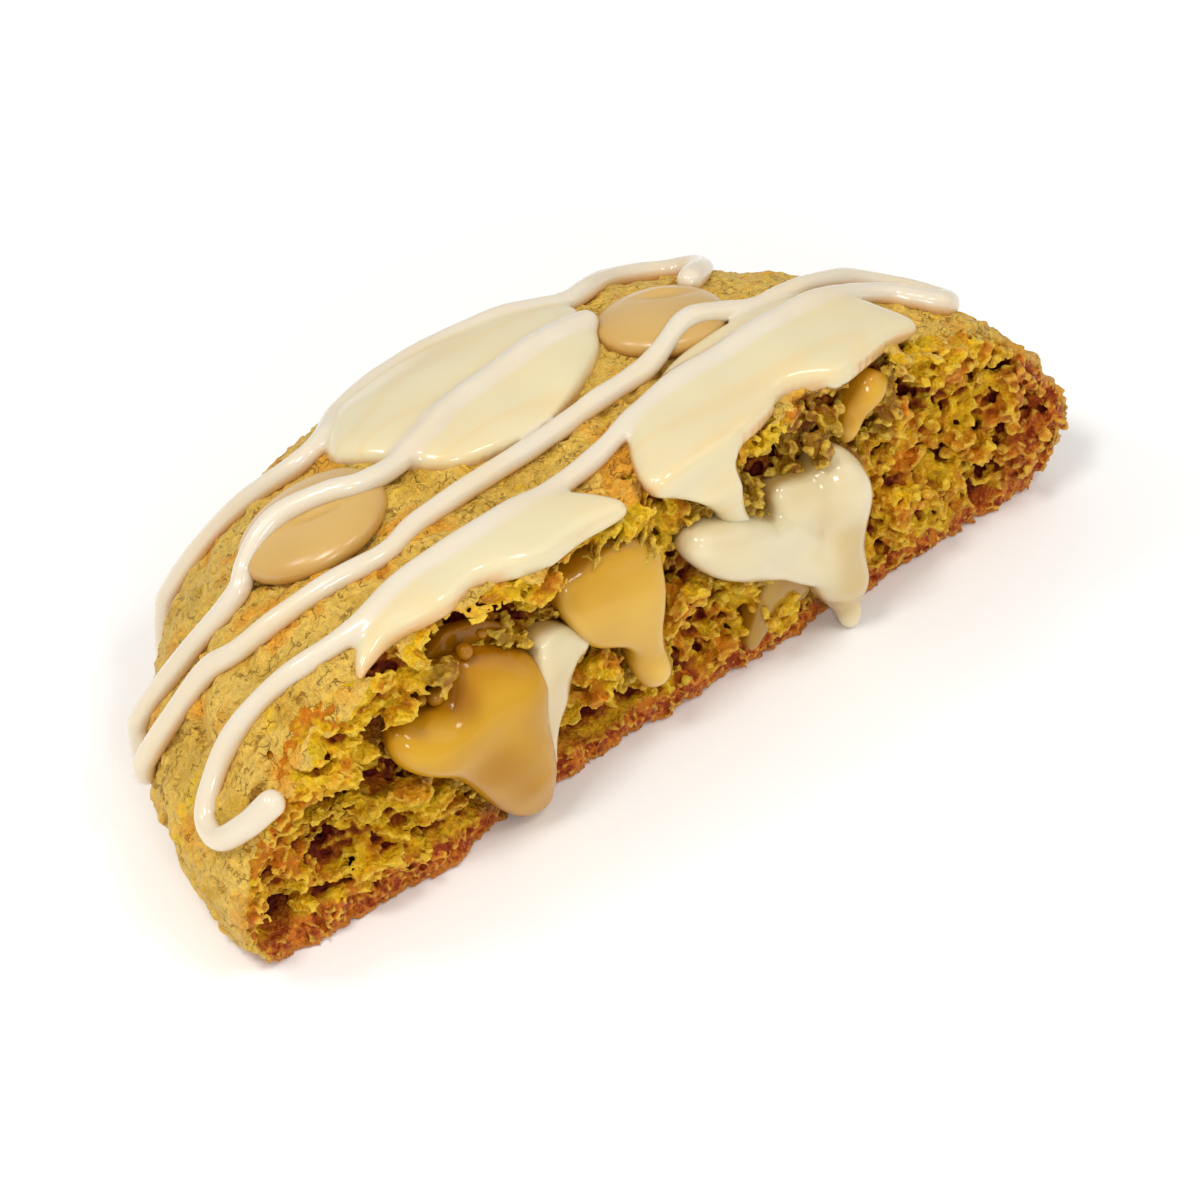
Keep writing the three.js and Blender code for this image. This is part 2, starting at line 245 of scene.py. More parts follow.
def smooth_line(points: Sequence[Sequence[float]], closed: bool, per_span: int) -> Array:
    """A smooth line through points.

    Args:
        points: The points that it passes.
        closed: Whether it runs back to its start.
        per_span: How many steps there are from one point to the next.

    Returns:
        The line's points, one row each.
    """
    p = np.array(points, np.float64)
    if closed:
        before, start, end, after = (np.roll(p, k, axis=0) for k in (1, 0, -1, -2))
    else:
        padded = np.vstack([2 * p[0] - p[1], p, 2 * p[-1] - p[-2]])
        before, start, end, after = padded[:-3], padded[1:-2], padded[2:-1], padded[3:]
    t = (np.arange(per_span) / per_span)[None, :, None]
    before, start, end, after = (q[:, None, :] for q in (before, start, end, after))
    line = 0.5 * (
        2 * start
        + (end - before) * t
        + (2 * before - 5 * start + 4 * end - after) * t**2
        + (3 * start - before - 3 * end + after) * t**3
    )
    line = line.reshape(-1, p.shape[1])
    return line if closed else np.vstack([line, p[-1]])


def inset(outline: Outline, u: Array, v: Array) -> Array:
    """Distance to a closed smooth outline.

    Args:
        outline: A few points that the outline passes.
        u, v: The places to measure from, arrays of one shape.

    Returns:
        The distance, positive inside the outline.
    """
    ring = smooth_line(outline, True, 8)
    nearest = np.full(u.shape, 1e9)
    inside = np.zeros(u.shape, bool)
    for (ax, ay), (bx, by) in zip(ring, np.roll(ring, -1, axis=0)):
        sx, sy = bx - ax, by - ay
        along = np.clip(((u - ax) * sx + (v - ay) * sy) / max(sx * sx + sy * sy, 1e-9), 0, 1)
        nearest = np.minimum(nearest, (u - ax - along * sx) ** 2 + (v - ay - along * sy) ** 2)
        crosses = (ay > v) != (by > v)
        at = ax + (v - ay) * sx / (sy if abs(sy) > 1e-9 else 1e-9)
        inside ^= crosses & (u < at)
    return np.where(inside, 1, -1) * np.sqrt(nearest)


def off_line(u: Array, v: Array, start: Place, end: Place) -> Array:
    """Distance to a straight line from one place to another.

    Args:
        u, v: The places to measure from.
        start, end: The line's ends.

    Returns:
        The distance.
    """
    run, climb = end[0] - start[0], end[1] - start[1]
    along = ((u - start[0]) * run + (v - start[1]) * climb) / max(run * run + climb * climb, 1e-9)
    along = np.clip(along, 0, 1)
    return np.hypot(u - start[0] - along * run, v - start[1] - along * climb)


def inflate(outline: Outline, u: Array, v: Array, cell: float = 0.5) -> Array:
    """Blows up an outline like a drop: over a round one, the squared height of half a ball.

    Args:
        outline: A few points that the outline passes.
        u, v: The places, arrays that broadcast together, each along its own axis.
        cell: How finely the drop is worked out, in millimetres.

    Returns:
        The squared height, which falls evenly below zero outside the outline.
    """
    sweeps = 1500
    softening = 8
    lip = 0.9
    ring = np.array(outline)
    (u0, v0), (u1, v1) = ring.min(axis=0) - FAR, ring.max(axis=0) + FAR
    us, vs = np.arange(u0, u1, cell), np.arange(v0, v1, cell)
    depth = inset(outline, *np.meshgrid(us, vs, indexing="ij"))
    inside = depth > 0
    drop = np.where(inside, depth * 2, 0)
    for _ in range(sweeps):
        near = drop[:-2, 1:-1] + drop[2:, 1:-1] + drop[1:-1, :-2] + drop[1:-1, 2:]
        drop[1:-1, 1:-1] = np.where(inside[1:-1, 1:-1], (near + 4 * cell * cell) / 4, 0)
    known = (depth > lip).astype(np.float64)
    slope, weight = known * drop / np.maximum(depth, lip), known
    for _ in range(softening):
        slope, weight = (box_blurred(q) for q in (slope, weight))
    slope = slope / np.maximum(weight, 1e-6)
    fill = np.where(weight > 1e-4, slope, 4.0)
    share = ramp(depth, 0.7, 1.6)
    drop = box_blurred(drop * share + depth * fill * (1 - share))
    return resampled(drop, (u0, v0), cell, u, v)


def averaged(line: Array, reach: int) -> Array:
    """Smooths a line of values.

    Args:
        line: The values.
        reach: How many neighbours to each side are averaged.

    Returns:
        As many smoother values.
    """
    count = 2 * reach + 1
    return np.convolve(np.pad(line, reach, mode="edge"), np.ones(count) / count, mode="valid")


def box_blurred(flat: Array) -> Array:
    """Smooths a flat field over each point's neighbours.

    Args:
        flat: The field.

    Returns:
        The smoother field.
    """
    held = np.pad(flat, 1, mode="edge")
    rows = held[:-2] + held[1:-1] + held[2:]
    return (rows[:, :-2] + rows[:, 1:-1] + rows[:, 2:]) / 9


def resampled(flat: Array, low: Sequence[float], cell: float, u: Array, v: Array) -> Array:
    """A flat field read off at other places, which may lie past its sides.

    Args:
        flat: The field.
        low: The place of its first point.
        cell: Its spacing.
        u, v: The places, arrays that broadcast together.

    Returns:
        The field there, in the places' own shape.
    """
    a, b = np.broadcast_arrays((u - low[0]) / cell, (v - low[1]) / cell)
    past = np.maximum.reduce([-a, -b, a - flat.shape[0] + 1, b - flat.shape[1] + 1, 0 * a])
    a = np.clip(a, 0, flat.shape[0] - 1.001)
    b = np.clip(b, 0, flat.shape[1] - 1.001)
    i, j = a.astype(int), b.astype(int)
    s, t = a - i, b - j
    top = flat[i, j] * (1 - s) + flat[i + 1, j] * s
    low_side = flat[i, j + 1] * (1 - s) + flat[i + 1, j + 1] * s
    return top * (1 - t) + low_side * t - 4 * cell * past


# ---- Grids and meshes ----


@dataclass(frozen=True)
class Grid:
    """A block of evenly spaced points on which a field is worked out."""

    low: Triple
    high: Triple
    cell: float

    @property
    def shape(self) -> tuple[int, ...]:
        """How many points there are along each axis."""
        return tuple(int(round((b - a) / self.cell)) + 1 for a, b in zip(self.low, self.high))

    def axes(self) -> list[Array]:
        """The points' coordinates.

        Returns:
            X, Y and Z, each along its own axis, so that they broadcast.
        """
        made = []
        for axis, count in enumerate(self.shape):
            line = np.float32(self.low[axis]) + np.arange(count, dtype=np.float32) * self.cell
            made.append(line.astype(np.float32).reshape([-1 if k == axis else 1 for k in range(3)]))
        return made

    def nearest(self, volume: Array, x: Array, y: Array, z: Array) -> Array:
        """The field's values at the grid points nearest to some places.

        Args:
            volume: The field.
            x, y, z: The places.

        Returns:
            One value each.
        """
        index = []
        for axis, v in enumerate((x, y, z)):
            k = np.rint((v - self.low[axis]) / self.cell).astype(np.int32)
            index.append(np.clip(k, 0, volume.shape[axis] - 1))
        return volume[tuple(index)]

    def sample(self, volume: Array, points: Array) -> Array:
        """The field's values at some points, interpolated.

        Args:
            volume: The field, which may stop short of the grid's far sides.
            points: One row each.

        Returns:
            One value each.
        """
        top = np.array(volume.shape) - 1.001
        place = np.clip((points - np.array(self.low)) / self.cell, 0, top)
        base = place.astype(np.int32)
        t = place - base
        total = np.zeros(len(points))
        for step in np.ndindex(2, 2, 2):
            weight = np.prod([t[:, k] if s else 1 - t[:, k] for k, s in enumerate(step)], axis=0)
            total += weight * volume[tuple(base[:, k] + s for k, s in enumerate(step))]
        return total

    def filled(self, volume: Array) -> Array:
        """How much of each cell lies inside a field's surface, from 0 to 1."""
        return np.clip(0.5 - volume / self.cell, 0, 1).astype(np.float32)

    def surface(self, volume: Array) -> tuple[Array, Array]:
        """The closed surface where the field crosses zero.

        Args:
            volume: A field that is negative inside.

        Returns:
            The points in millimetres, and faces of four point numbers each.
        """
        held = openvdb.FloatGrid()
        most = 2  # longer distances make no difference to the surface
        held.copyFromArray(np.ascontiguousarray(np.clip(volume, -most, most), np.float32))
        points, quads = held.convertToQuads(0.0)
        points = np.array(self.low) + points.astype(np.float64) * self.cell
        quads = quads.astype(np.int64)
        a, b, c, d = (points[quads[:, k]] for k in range(4))
        volume_sum = np.einsum("ij,ij->i", a, np.cross(b, c) + np.cross(c, d)).sum()
        return points, quads if volume_sum > 0 else quads[:, ::-1]


def blurred(volume: Array, reach: int) -> Array:
    """Smooths a field, twice along each axis.

    Args:
        volume: The field.
        reach: How many grid points to each side are averaged.

    Returns:
        The smoother field.
    """
    for axis in range(3):
        for _ in range(2):
            widths = [(reach + 1, reach) if k == axis else (0, 0) for k in range(3)]
            run = np.cumsum(np.pad(volume, widths, mode="edge"), axis=axis, dtype=np.float64)
            ends = np.take(run, range(2 * reach + 1, run.shape[axis]), axis=axis)
            starts = np.take(run, range(0, run.shape[axis] - 2 * reach - 1), axis=axis)
            volume = ((ends - starts) / (2 * reach + 1)).astype(np.float32)
    return volume


def main_body(points: Array, faces: Array) -> Array:
    """Finds the largest connected body of a mesh.

    Args:
        points: The mesh's points.
        faces: Its faces.

    Returns:
        Whether each face belongs to that body.
    """
    label = np.arange(len(points))
    while True:
        least = label[faces].min(axis=1)
        again = label.copy()
        for k in range(faces.shape[1]):
            np.minimum.at(again, faces[:, k], least)
        again = again[again]
        if np.array_equal(again, label):
            break
        label = again
    owner = label[faces[:, 0]]
    return owner == np.bincount(owner).argmax()


@dataclass
class MeshPiece:
    """A mesh in the cookie's frame, in millimetres, with values on its points."""

    name: str
    points: Array
    faces: Array
    masks: dict[Mask, Array] = field(default_factory=dict)

    def part(self, name: str, chosen: Array) -> "MeshPiece":
        """Makes some of the faces a piece of its own.

        Args:
            name: The new piece's name.
            chosen: Whether each face goes into it.

        Returns:
            The piece, with its share of the masks.
        """
        faces = self.faces[chosen]
        used, faces_now = np.unique(faces, return_inverse=True)
        masks = {mask: values[used] for mask, values in self.masks.items()}
        return MeshPiece(name, self.points[used], faces_now.reshape(faces.shape), masks)

    def to_object(self, crease: float = math.pi) -> bpy.types.Object:
        """Makes the Blender object, in metres in the part's frame.

        Args:
            crease: The angle past which an edge is shaded sharp.

        Returns:
            The object, in the scene.
        """
        mesh = bpy.data.meshes.new(self.name)
        count, corners = self.faces.shape
        mesh.vertices.add(len(self.points))
        places = (self.points + np.array([0, TEAR_Y, 0])) * MM
        mesh.vertices.foreach_set("co", places.astype(np.float32).ravel())
        mesh.loops.add(count * corners)
        mesh.loops.foreach_set("vertex_index", self.faces.astype(np.int32).ravel())
        mesh.polygons.add(count)
        mesh.polygons.foreach_set("loop_start", np.arange(0, count * corners, corners, np.int32))
        mesh.update(calc_edges=True)
        mesh.polygons.foreach_set("use_smooth", np.ones(count, bool))
        for mask, values in self.masks.items():
            layer = mesh.attributes.new(mask.value, "FLOAT", "POINT")
            layer.data.foreach_set("value", np.asarray(values, np.float32))
        mesh.validate()
        if crease < math.pi:
            mesh.set_sharp_from_angle(angle=crease)
        made = bpy.data.objects.new(self.name, mesh)
        bpy.context.scene.collection.objects.link(made)
        return made


def thinned(points: Array, faces: Array, ratio: float) -> tuple[Array, Array]:
    """Fewer, larger faces where the surface is nearly flat.

    Args:
        points: The mesh's points.
        faces: Its faces.
        ratio: The share of its triangles to keep.

    Returns:
        The new points, and triangles.
    """
    rough = MeshPiece("thinning", points, faces).to_object()
    modifier = rough.modifiers.new("thin", "DECIMATE")
    modifier.ratio, modifier.use_collapse_triangulate = ratio, True
    result = rough.evaluated_get(bpy.context.evaluated_depsgraph_get()).to_mesh()
    places = np.empty(len(result.vertices) * 3, np.float32)
    result.vertices.foreach_get("co", places)
    corners = np.empty(len(result.loops), np.int32)
    result.loops.foreach_get("vertex_index", corners)
    rough_mesh = rough.data
    bpy.data.objects.remove(rough)
    bpy.data.meshes.remove(rough_mesh)
    places = places.reshape(-1, 3) / MM - np.array([0, TEAR_Y, 0])
    return places, corners.reshape(-1, 3).astype(np.int64)


def install(
    piece: bpy.types.Object, material: bpy.types.Material, nodes: Sequence[str]
) -> None:
    """Dresses a piece, says what it rides on and stands for, and reports it.

    Args:
        piece: The object.
        material: Its finish.
        nodes: The CAD nodes that it stands for.
    """
    piece.data.materials.append(material)
    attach(piece, ROOT)
    if nodes:
        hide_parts(*nodes)
    triangles = sum(len(face.vertices) - 2 for face in piece.data.polygons)
    stands_for = ", ".join(nodes) or "no node"
    log.info("%s: %d triangles, stands for %s", piece.name, triangles, stands_for)


# ---- The cookie's form ----


@dataclass(frozen=True)
class CookieForm:
    """The whole cookie's crust, as it was before the tear.

    The mean half turns shares of the way to the widest line into millimetres, and the probes are
    the steps over which slopes are measured.
    """

    half_width: float = 52.0
    half_depth: float = 48.7
    centre_y: float = -3.1
    thickness: float = 29.5
    widest_z: float = 10.4
    dome_power: float = 5.0
    undercut: float = 0.06
    side_rounding: float = 1.6
    base_rounding: float = 2.4
    swell_heights: Place = (0.7, 0.3)
    swell_sizes: Place = (17.0, 8.0)
    mean_half: float = 50.0
    most_share: float = 1.15
    probe: float = 0.3
    wide_probe: float = 0.4

    def share(self, x: Array, y: Array) -> Array:
        """How far a place is on the way from the middle to the widest line."""
        return np.hypot(x / self.half_width, (y - self.centre_y) / self.half_depth)

    def swell(self, x: Array, y: Array) -> Array:
        """The crust's slow rise and fall.

        Args:
            x, y: The places.

        Returns:
            The height added at each.
        """
        flat = np.zeros(1, np.float32)
        large = self.swell_heights[0] * lumps(x, y, flat, self.swell_sizes[0], 3)
        small = self.swell_heights[1] * lumps(x, y, flat, self.swell_sizes[1], 5)
        return large + small

    def top(self, x: Array, y: Array) -> Array:
        """The crust's height.

        Args:
            x, y: The places.

        Returns:
            The height at each.
        """
        share = np.minimum(self.share(x, y), self.most_share)
        dome = (self.thickness - self.widest_z) * (1 - share**self.dome_power)
        return self.widest_z + dome + self.swell(x, y)

    def side_share(self, z: Array) -> Array:
        """The side's share of the widest line, at a height below it."""
        return 1 - self.undercut * np.clip(1 - z / self.widest_z, 0, 1) ** 2

    def above(self, x: Array, y: Array, z: Array) -> Array:
        """Distance above the dome, measured square to it.

        Args:
            x, y, z: The places.

        Returns:
            The distance, negative below the dome.
        """
        step = self.probe
        across = (self.top(x + step, y) - self.top(x - step, y)) / (2 * step)
        along = (self.top(x, y + step) - self.top(x, y - step)) / (2 * step)
        return (z - self.top(x, y)) / np.sqrt(1 + across**2 + along**2)

    def outside(self, x: Array, y: Array, z: Array) -> Array:
        """Distance outside the whole cookie.

        Args:
            x, y, z: The places.

        Returns:
            The distance, negative inside the cookie.
        """
        beside = (self.share(x, y) - self.side_share(z)) * self.mean_half
        body = carve(self.above(x, y, z), beside, self.side_rounding)
        return carve(body, -z + 0 * body, self.base_rounding)

    def bare(self, x: Array, y: Array) -> Array:
        """Places on the crust as seen from above. Past the widest line they go down its side.

        Args:
            x, y: The places.

        Returns:
            One row of X, Y and Z each.
        """
        share = self.share(x, y)
        z = np.maximum(self.widest_z - (share - 1) * self.half_width, 0)
        pull = np.where(share > 1, self.side_share(z) / np.maximum(share, 1e-6), 1)
        height = np.where(share > 1, z + self.swell(x, y), self.top(x, y))
        middle = self.centre_y
        return np.stack([x * pull, middle + (y - middle) * pull, height], axis=-1)

    def on_crust(self, x: Array, y: Array, out: Array) -> Array:
        """Places that stand off the crust, square to it.

        Args:
            x, y: The places under them, as seen from above.
            out: How far they stand off.

        Returns:
            One row of X, Y and Z each.
        """
        step = self.wide_probe
        across = self.bare(x + step, y) - self.bare(x - step, y)
        along = self.bare(x, y + step) - self.bare(x, y - step)
        normal = np.cross(across, along)
        normal /= np.linalg.norm(normal, axis=-1, keepdims=True)
        return self.bare(x, y) + normal * np.asarray(out)[..., None]


@dataclass(frozen=True)
class Cave:
    """A hollow in the torn face."""

    x: float
    z: float
    half_width: float
    half_height: float
    depth: float


@dataclass(frozen=True)
class TearForm:
    """The torn face's large shape."""

    coarse_depth: float = 1.0
    coarse_size: float = 8.0
    foot_reach: float = 1.6
    foot_recess: float = 1.0
    foot_height: float = 7.0
    foot_middle: float = -34.0
    foot_spread: float = 14.0
    caves: tuple[Cave, ...] = (
        Cave(-46.5, 5, 2.8, 2.6, 6),
        Cave(-37, 15.5, 4.6, 3.2, 6),
        Cave(-40, 9.5, 4, 2.6, 5),
        Cave(-22.5, 25, 5.5, 2.4, 5),
        Cave(-9, 5.5, 4.4, 3.2, 5.5),
        Cave(2.5, 9, 4.4, 3.6, 5),
        Cave(12.5, 24.4, 4.2, 2.6, 5),
        Cave(32.5, 20, 3.6, 2.4, 5),
        Cave(41, 6.5, 2.4, 5.0, 5),
    )

    def recess(self, x: Array, z: Array) -> Array:
        """How far the face draws back near the base, or leans out at its left end."""
        reach = self.foot_reach * bump(x, self.foot_middle, self.foot_spread)
        return (self.foot_recess - reach) * np.maximum(0, 1 - z / self.foot_height)

    def smooth(self, x: Array, z: Array) -> Array:
        """The face's place along Y, without its caves."""
        flat = np.zeros(1, np.float32)
        return self.recess(x, z) + self.coarse_depth * lumps(x, flat, z, self.coarse_size, 19)

    def rough(self, x: Array, z: Array) -> Array:
        """The face's place along Y, with its caves.

        Args:
            x, z: The places on the face.

        Returns:
            Y at each.
        """
        depth = self.smooth(x, z)
        for cave in self.caves:
            away = np.hypot((x - cave.x) / cave.half_width, (z - cave.z) / cave.half_height)
            depth = depth + cave.depth * np.maximum(0, 1 - away * away)
        return depth


# ---- Node trees and shared effects ----

Socket = bpy.types.NodeSocket
Value = float | tuple[float, ...] | Socket


def linear(red: int, green: int, blue: int) -> Colour:
    """A screen colour as the linear colour that a shader takes."""
    shares = (v / 255 for v in (red, green, blue))
    return (*((s / 12.92 if s <= 0.04045 else ((s + 0.055) / 1.055) ** 2.4) for s in shares), 1.0)


@dataclass
class Graph:
    """Adds and links the nodes of one tree."""

    tree: bpy.types.NodeTree

    def put(self, socket: Socket, value: Value) -> None:
        """Links a socket to another one, or sets its own value.

        Args:
            socket: The input socket.
            value: A source, or a plain value.
        """
        if isinstance(value, bpy.types.NodeSocket):
            self.tree.links.new(value, socket)
        else:
            socket.default_value = value

    def add(self, kind: str, inputs: dict[str | int, Value], **settings: object) -> bpy.types.Node:
        """Adds a node.

        Args:
            kind: The node's type.
            inputs: A value or a source for each of its sockets, by name or number.
            **settings: The node's own properties.

        Returns:
            The node.
        """
        node = self.tree.nodes.new(kind)
        for name, setting in settings.items():
            setattr(node, name, setting)
        for key, value in inputs.items():
            self.put(node.inputs[key], value)
        return node

    def math(
        self, operation: str, a: Value, b: Value = 0.0, c: Value = 0.0, clamp: bool = False
    ) -> Socket:
        """A sum of two values, or another operation on them."""
        inputs = {0: a, 1: b, 2: c}
        return self.add("ShaderNodeMath", inputs, operation=operation, use_clamp=clamp).outputs[0]

    def mix(self, share: Value, a: Value, b: Value, blend: str = "MIX") -> Socket:
        """Mixes two colours."""
        inputs = {0: share, 6: a, 7: b}
        return self.add("ShaderNodeMix", inputs, data_type="RGBA", blend_type=blend).outputs[2]

    def ease(self, value: Value, low: float, high: float, out: Place = (0.0, 1.0)) -> Socket:
        """Maps a range of a value smoothly to another.

        Args:
            value: The value.
            low, high: The range that it is taken from.
            out: The range that it is mapped to.

        Returns:
            The mapped value.
        """
        inputs = {"Value": value, "From Min": low, "From Max": high}
        inputs |= {"To Min": out[0], "To Max": out[1]}
        node = self.add("ShaderNodeMapRange", inputs, interpolation_type="SMOOTHSTEP")
        return node.outputs[0]

    def tinted(self, value: Value, span: Triple, colour: Socket, tint: Screen) -> Socket:
        """Lays a tint over a colour by a value: span is its start, its end and its full share."""
        share = self.ease(value, span[0], span[1], (0.0, span[2]))
        return self.mix(share, colour, linear(*tint))

    def mask(self, mask: Mask) -> Socket:
        """A value kept on the mesh's points."""
        node = self.add("ShaderNodeAttribute", {}, attribute_name=mask.value)
        return node.outputs["Fac"]

    def place(self) -> Socket:
        """The piece's own coordinates, in metres."""
        return self.add("ShaderNodeTexCoord", {}).outputs["Object"]

    def cloud(self, place: Socket, size: float, detail: float = 3.0, rough: float = 0.55) -> Socket:
        """Noise with lumps of this size in millimetres, about 0 to 1."""
        inputs = {"Vector": place, "Scale": 1 / (size * MM), "Detail": detail, "Roughness": rough}
        return self.add("ShaderNodeTexNoise", inputs).outputs["Fac"]

    def warped(self, place: Socket, size: float, shift: float) -> Socket:
        """Coordinates pushed about by noise.

        Args:
            place: The coordinates.
            size: How large the noise's lumps are, in millimetres.
            shift: How far it pushes, in millimetres.

        Returns:
            The new coordinates.
        """
        inputs = {"Vector": place, "Scale": 1 / (size * MM), "Detail": 2.0}
        colour = self.add("ShaderNodeTexNoise", inputs).outputs["Color"]
        middle = {0: colour, 1: (0.5, 0.5, 0.5)}
        centred = self.add("ShaderNodeVectorMath", middle, operation="SUBTRACT").outputs[0]
        pushed = {0: centred, 1: (2 * shift * MM,) * 3, 2: place}
        return self.add("ShaderNodeVectorMath", pushed, operation="MULTIPLY_ADD").outputs[0]

    def dimmed(self, colour: Socket, share: Socket) -> Socket:
        """A colour made darker or lighter by a factor."""
        grey = self.add("ShaderNodeCombineColor", {0: share, 1: share, 2: share}).outputs[0]
        return self.mix(1.0, colour, grey, "MULTIPLY")

    def pebbles(self, place: Socket, size: float) -> Socket:
        """Distance to the nearest of many cells of this size in millimetres."""
        inputs = {"Vector": place, "Scale": 1 / (size * MM)}
        return self.add("ShaderNodeTexVoronoi", inputs).outputs["Distance"]

    def colours(self, value: Value, stops: Sequence[tuple[float, Screen]]) -> Socket:
        """A colour ramp.

        Args:
            value: What picks the colour.
            stops: The place and screen colour of each stop.

        Returns:
            The colour.
        """
        node = self.add("ShaderNodeValToRGB", {0: value})
        elements = node.color_ramp.elements
        while len(elements) < len(stops):
            elements.new(0.5)
        for element, (place, screen) in zip(elements, stops):
            element.position, element.color = place, linear(*screen)
        return node.outputs["Color"]

    def relief(self, height: Socket, depth: float, strength: float = 1.0) -> Socket:
        """A normal from a height, for grain of this depth in millimetres."""
        inputs = {"Strength": strength, "Distance": depth * MM, "Height": height}
        return self.add("ShaderNodeBump", inputs).outputs[0]

    def group(self, tree: bpy.types.NodeTree, inputs: dict[str, Value]) -> bpy.types.Node:
        """Places a shared effect and feeds it.

        Args:
            tree: The effect's group.
            inputs: A value or a source for each of its sockets.

        Returns:
            The group's node.
        """
        node = self.add("ShaderNodeGroup", {}, node_tree=tree)
        for name, value in inputs.items():
            self.put(node.inputs[name], value)
        return node


def effect(
    name: str, inputs: dict[str, tuple[str, float]], outputs: dict[str, str]
) -> tuple[bpy.types.NodeTree, bpy.types.Node, bpy.types.Node]:
    """Starts a shader node group.

    Args:
        name: The group's name.
        inputs: Each input's kind and usual value, by name.
        outputs: Each output's kind, by name.

    Returns:
        The tree, and its input and output nodes.
    """
    tree = bpy.data.node_groups.new(name, "ShaderNodeTree")
    for label, (kind, usual) in inputs.items():
        socket = tree.interface.new_socket(label, in_out="INPUT", socket_type=kind)
        if kind == "NodeSocketFloat":
            socket.default_value = usual
    for label, kind in outputs.items():
        tree.interface.new_socket(label, in_out="OUTPUT", socket_type=kind)
    return tree, tree.nodes.new("NodeGroupInput"), tree.nodes.new("NodeGroupOutput")


FLOAT, VECTOR = "NodeSocketFloat", "NodeSocketVector"


@dataclass
class Effects:
    """The effects that several finishes share."""

    baked_grain: bpy.types.NodeTree = field(init=False)
    melted_skin: bpy.types.NodeTree = field(init=False)

    def __post_init__(self) -> None:
        """Builds the groups once."""
        self.baked_grain = self._baked_grain()
        self.melted_skin = self._melted_skin()

    @staticmethod
    def _baked_grain() -> bpy.types.NodeTree:
        """The grain of baked dough: speckles, patches, wrinkles, and a height for relief.

        Returns:
            The group.
        """
        tree, given, out = effect(
            "baked_grain",
            {"Place": (VECTOR, 0), "Wrinkle Share": (FLOAT, 0.5)},
            {"Speckle": FLOAT, "Patch": FLOAT, "Wrinkle": FLOAT, "Height": FLOAT},
        )
        g = Graph(tree)
        place = given.outputs["Place"]
        fine = g.cloud(place, 0.6, 4.0, 0.65)
        patch = g.cloud(place, 7.0, 3.0, 0.6)
        warped = g.warped(place, 1.1, 0.9)
        bend = g.math("ABSOLUTE", g.math("SUBTRACT", g.cloud(warped, 1.5, 1.5, 0.5), 0.5))
        line = g.ease(bend, 0.028, 0.004)
        broken = g.ease(g.cloud(place, 1.7, 3.0, 0.6), 0.47, 0.62)
        wrinkle = g.math("MULTIPLY", line, broken)
        cut = g.math("MULTIPLY", wrinkle, given.outputs["Wrinkle Share"])
        flakes = g.math("MULTIPLY", g.pebbles(warped, 0.6), -0.4)
        sand = g.math("MULTIPLY", g.cloud(place, 0.32, 2.0, 0.6), 0.5)
        height = g.math("SUBTRACT", g.math("ADD", g.math("ADD", fine, flakes), sand), cut)
        g.put(out.inputs["Speckle"], fine)
        g.put(out.inputs["Patch"], patch)
        g.put(out.inputs["Wrinkle"], wrinkle)
        g.put(out.inputs["Height"], height)
        return tree

    @staticmethod
    def _melted_skin() -> bpy.types.NodeTree:
        """The faint marbling and unevenness of set or melted sweets.

        Returns:
            The group.
        """
        tree, given, out = effect(
            "melted_skin",
            {"Place": (VECTOR, 0)},
            {"Marble": FLOAT, "Streak": FLOAT, "Height": FLOAT},
        )
        g = Graph(tree)
        place = given.outputs["Place"]
        stretch = {0: place, 1: (0.16, 1.0, 1.0)}
        drawn = g.add("ShaderNodeVectorMath", stretch, operation="MULTIPLY").outputs[0]
        band = g.math("ABSOLUTE", g.math("SUBTRACT", g.cloud(drawn, 6.5, 1.0, 0.4), 0.5))
        streak = g.ease(band, 0.06, 0.0)
        marble = g.cloud(g.warped(place, 6.0, 1.2), 8.0, 1.0, 0.4)
        ripple = g.cloud(place, 1.6, 2.0, 0.4)
        g.put(out.inputs["Marble"], marble)
        g.put(out.inputs["Streak"], streak)
        g.put(out.inputs["Height"], g.math("MULTIPLY", ripple, 0.6))
        return tree


@dataclass(frozen=True)
class Finish:
    """A look: a Principled BSDF's plain values, and the nodes that drive its other sockets."""

    effects: Effects
    name: str

    def plain(self) -> dict[str, Value]:
        """Lists the shader's plain values, by socket."""
        raise NotImplementedError

    def driven(self, g: Graph) -> dict[str, Value]:
        """Makes the nodes in the material's graph, and gives the driven sockets' sources."""
        raise NotImplementedError

    def material(self) -> bpy.types.Material:
        """Builds the material.

        Returns:
            The material.
        """
        material = bpy.data.materials.new(self.name)
        material.use_nodes = True
        material.node_tree.nodes.clear()
        graph = Graph(material.node_tree)
        shader = graph.add("ShaderNodeBsdfPrincipled", self.plain())
        for socket, source in self.driven(graph).items():
            graph.put(shader.inputs[socket], source)
        graph.add("ShaderNodeOutputMaterial", {"Surface": shader.outputs[0]})
        return material


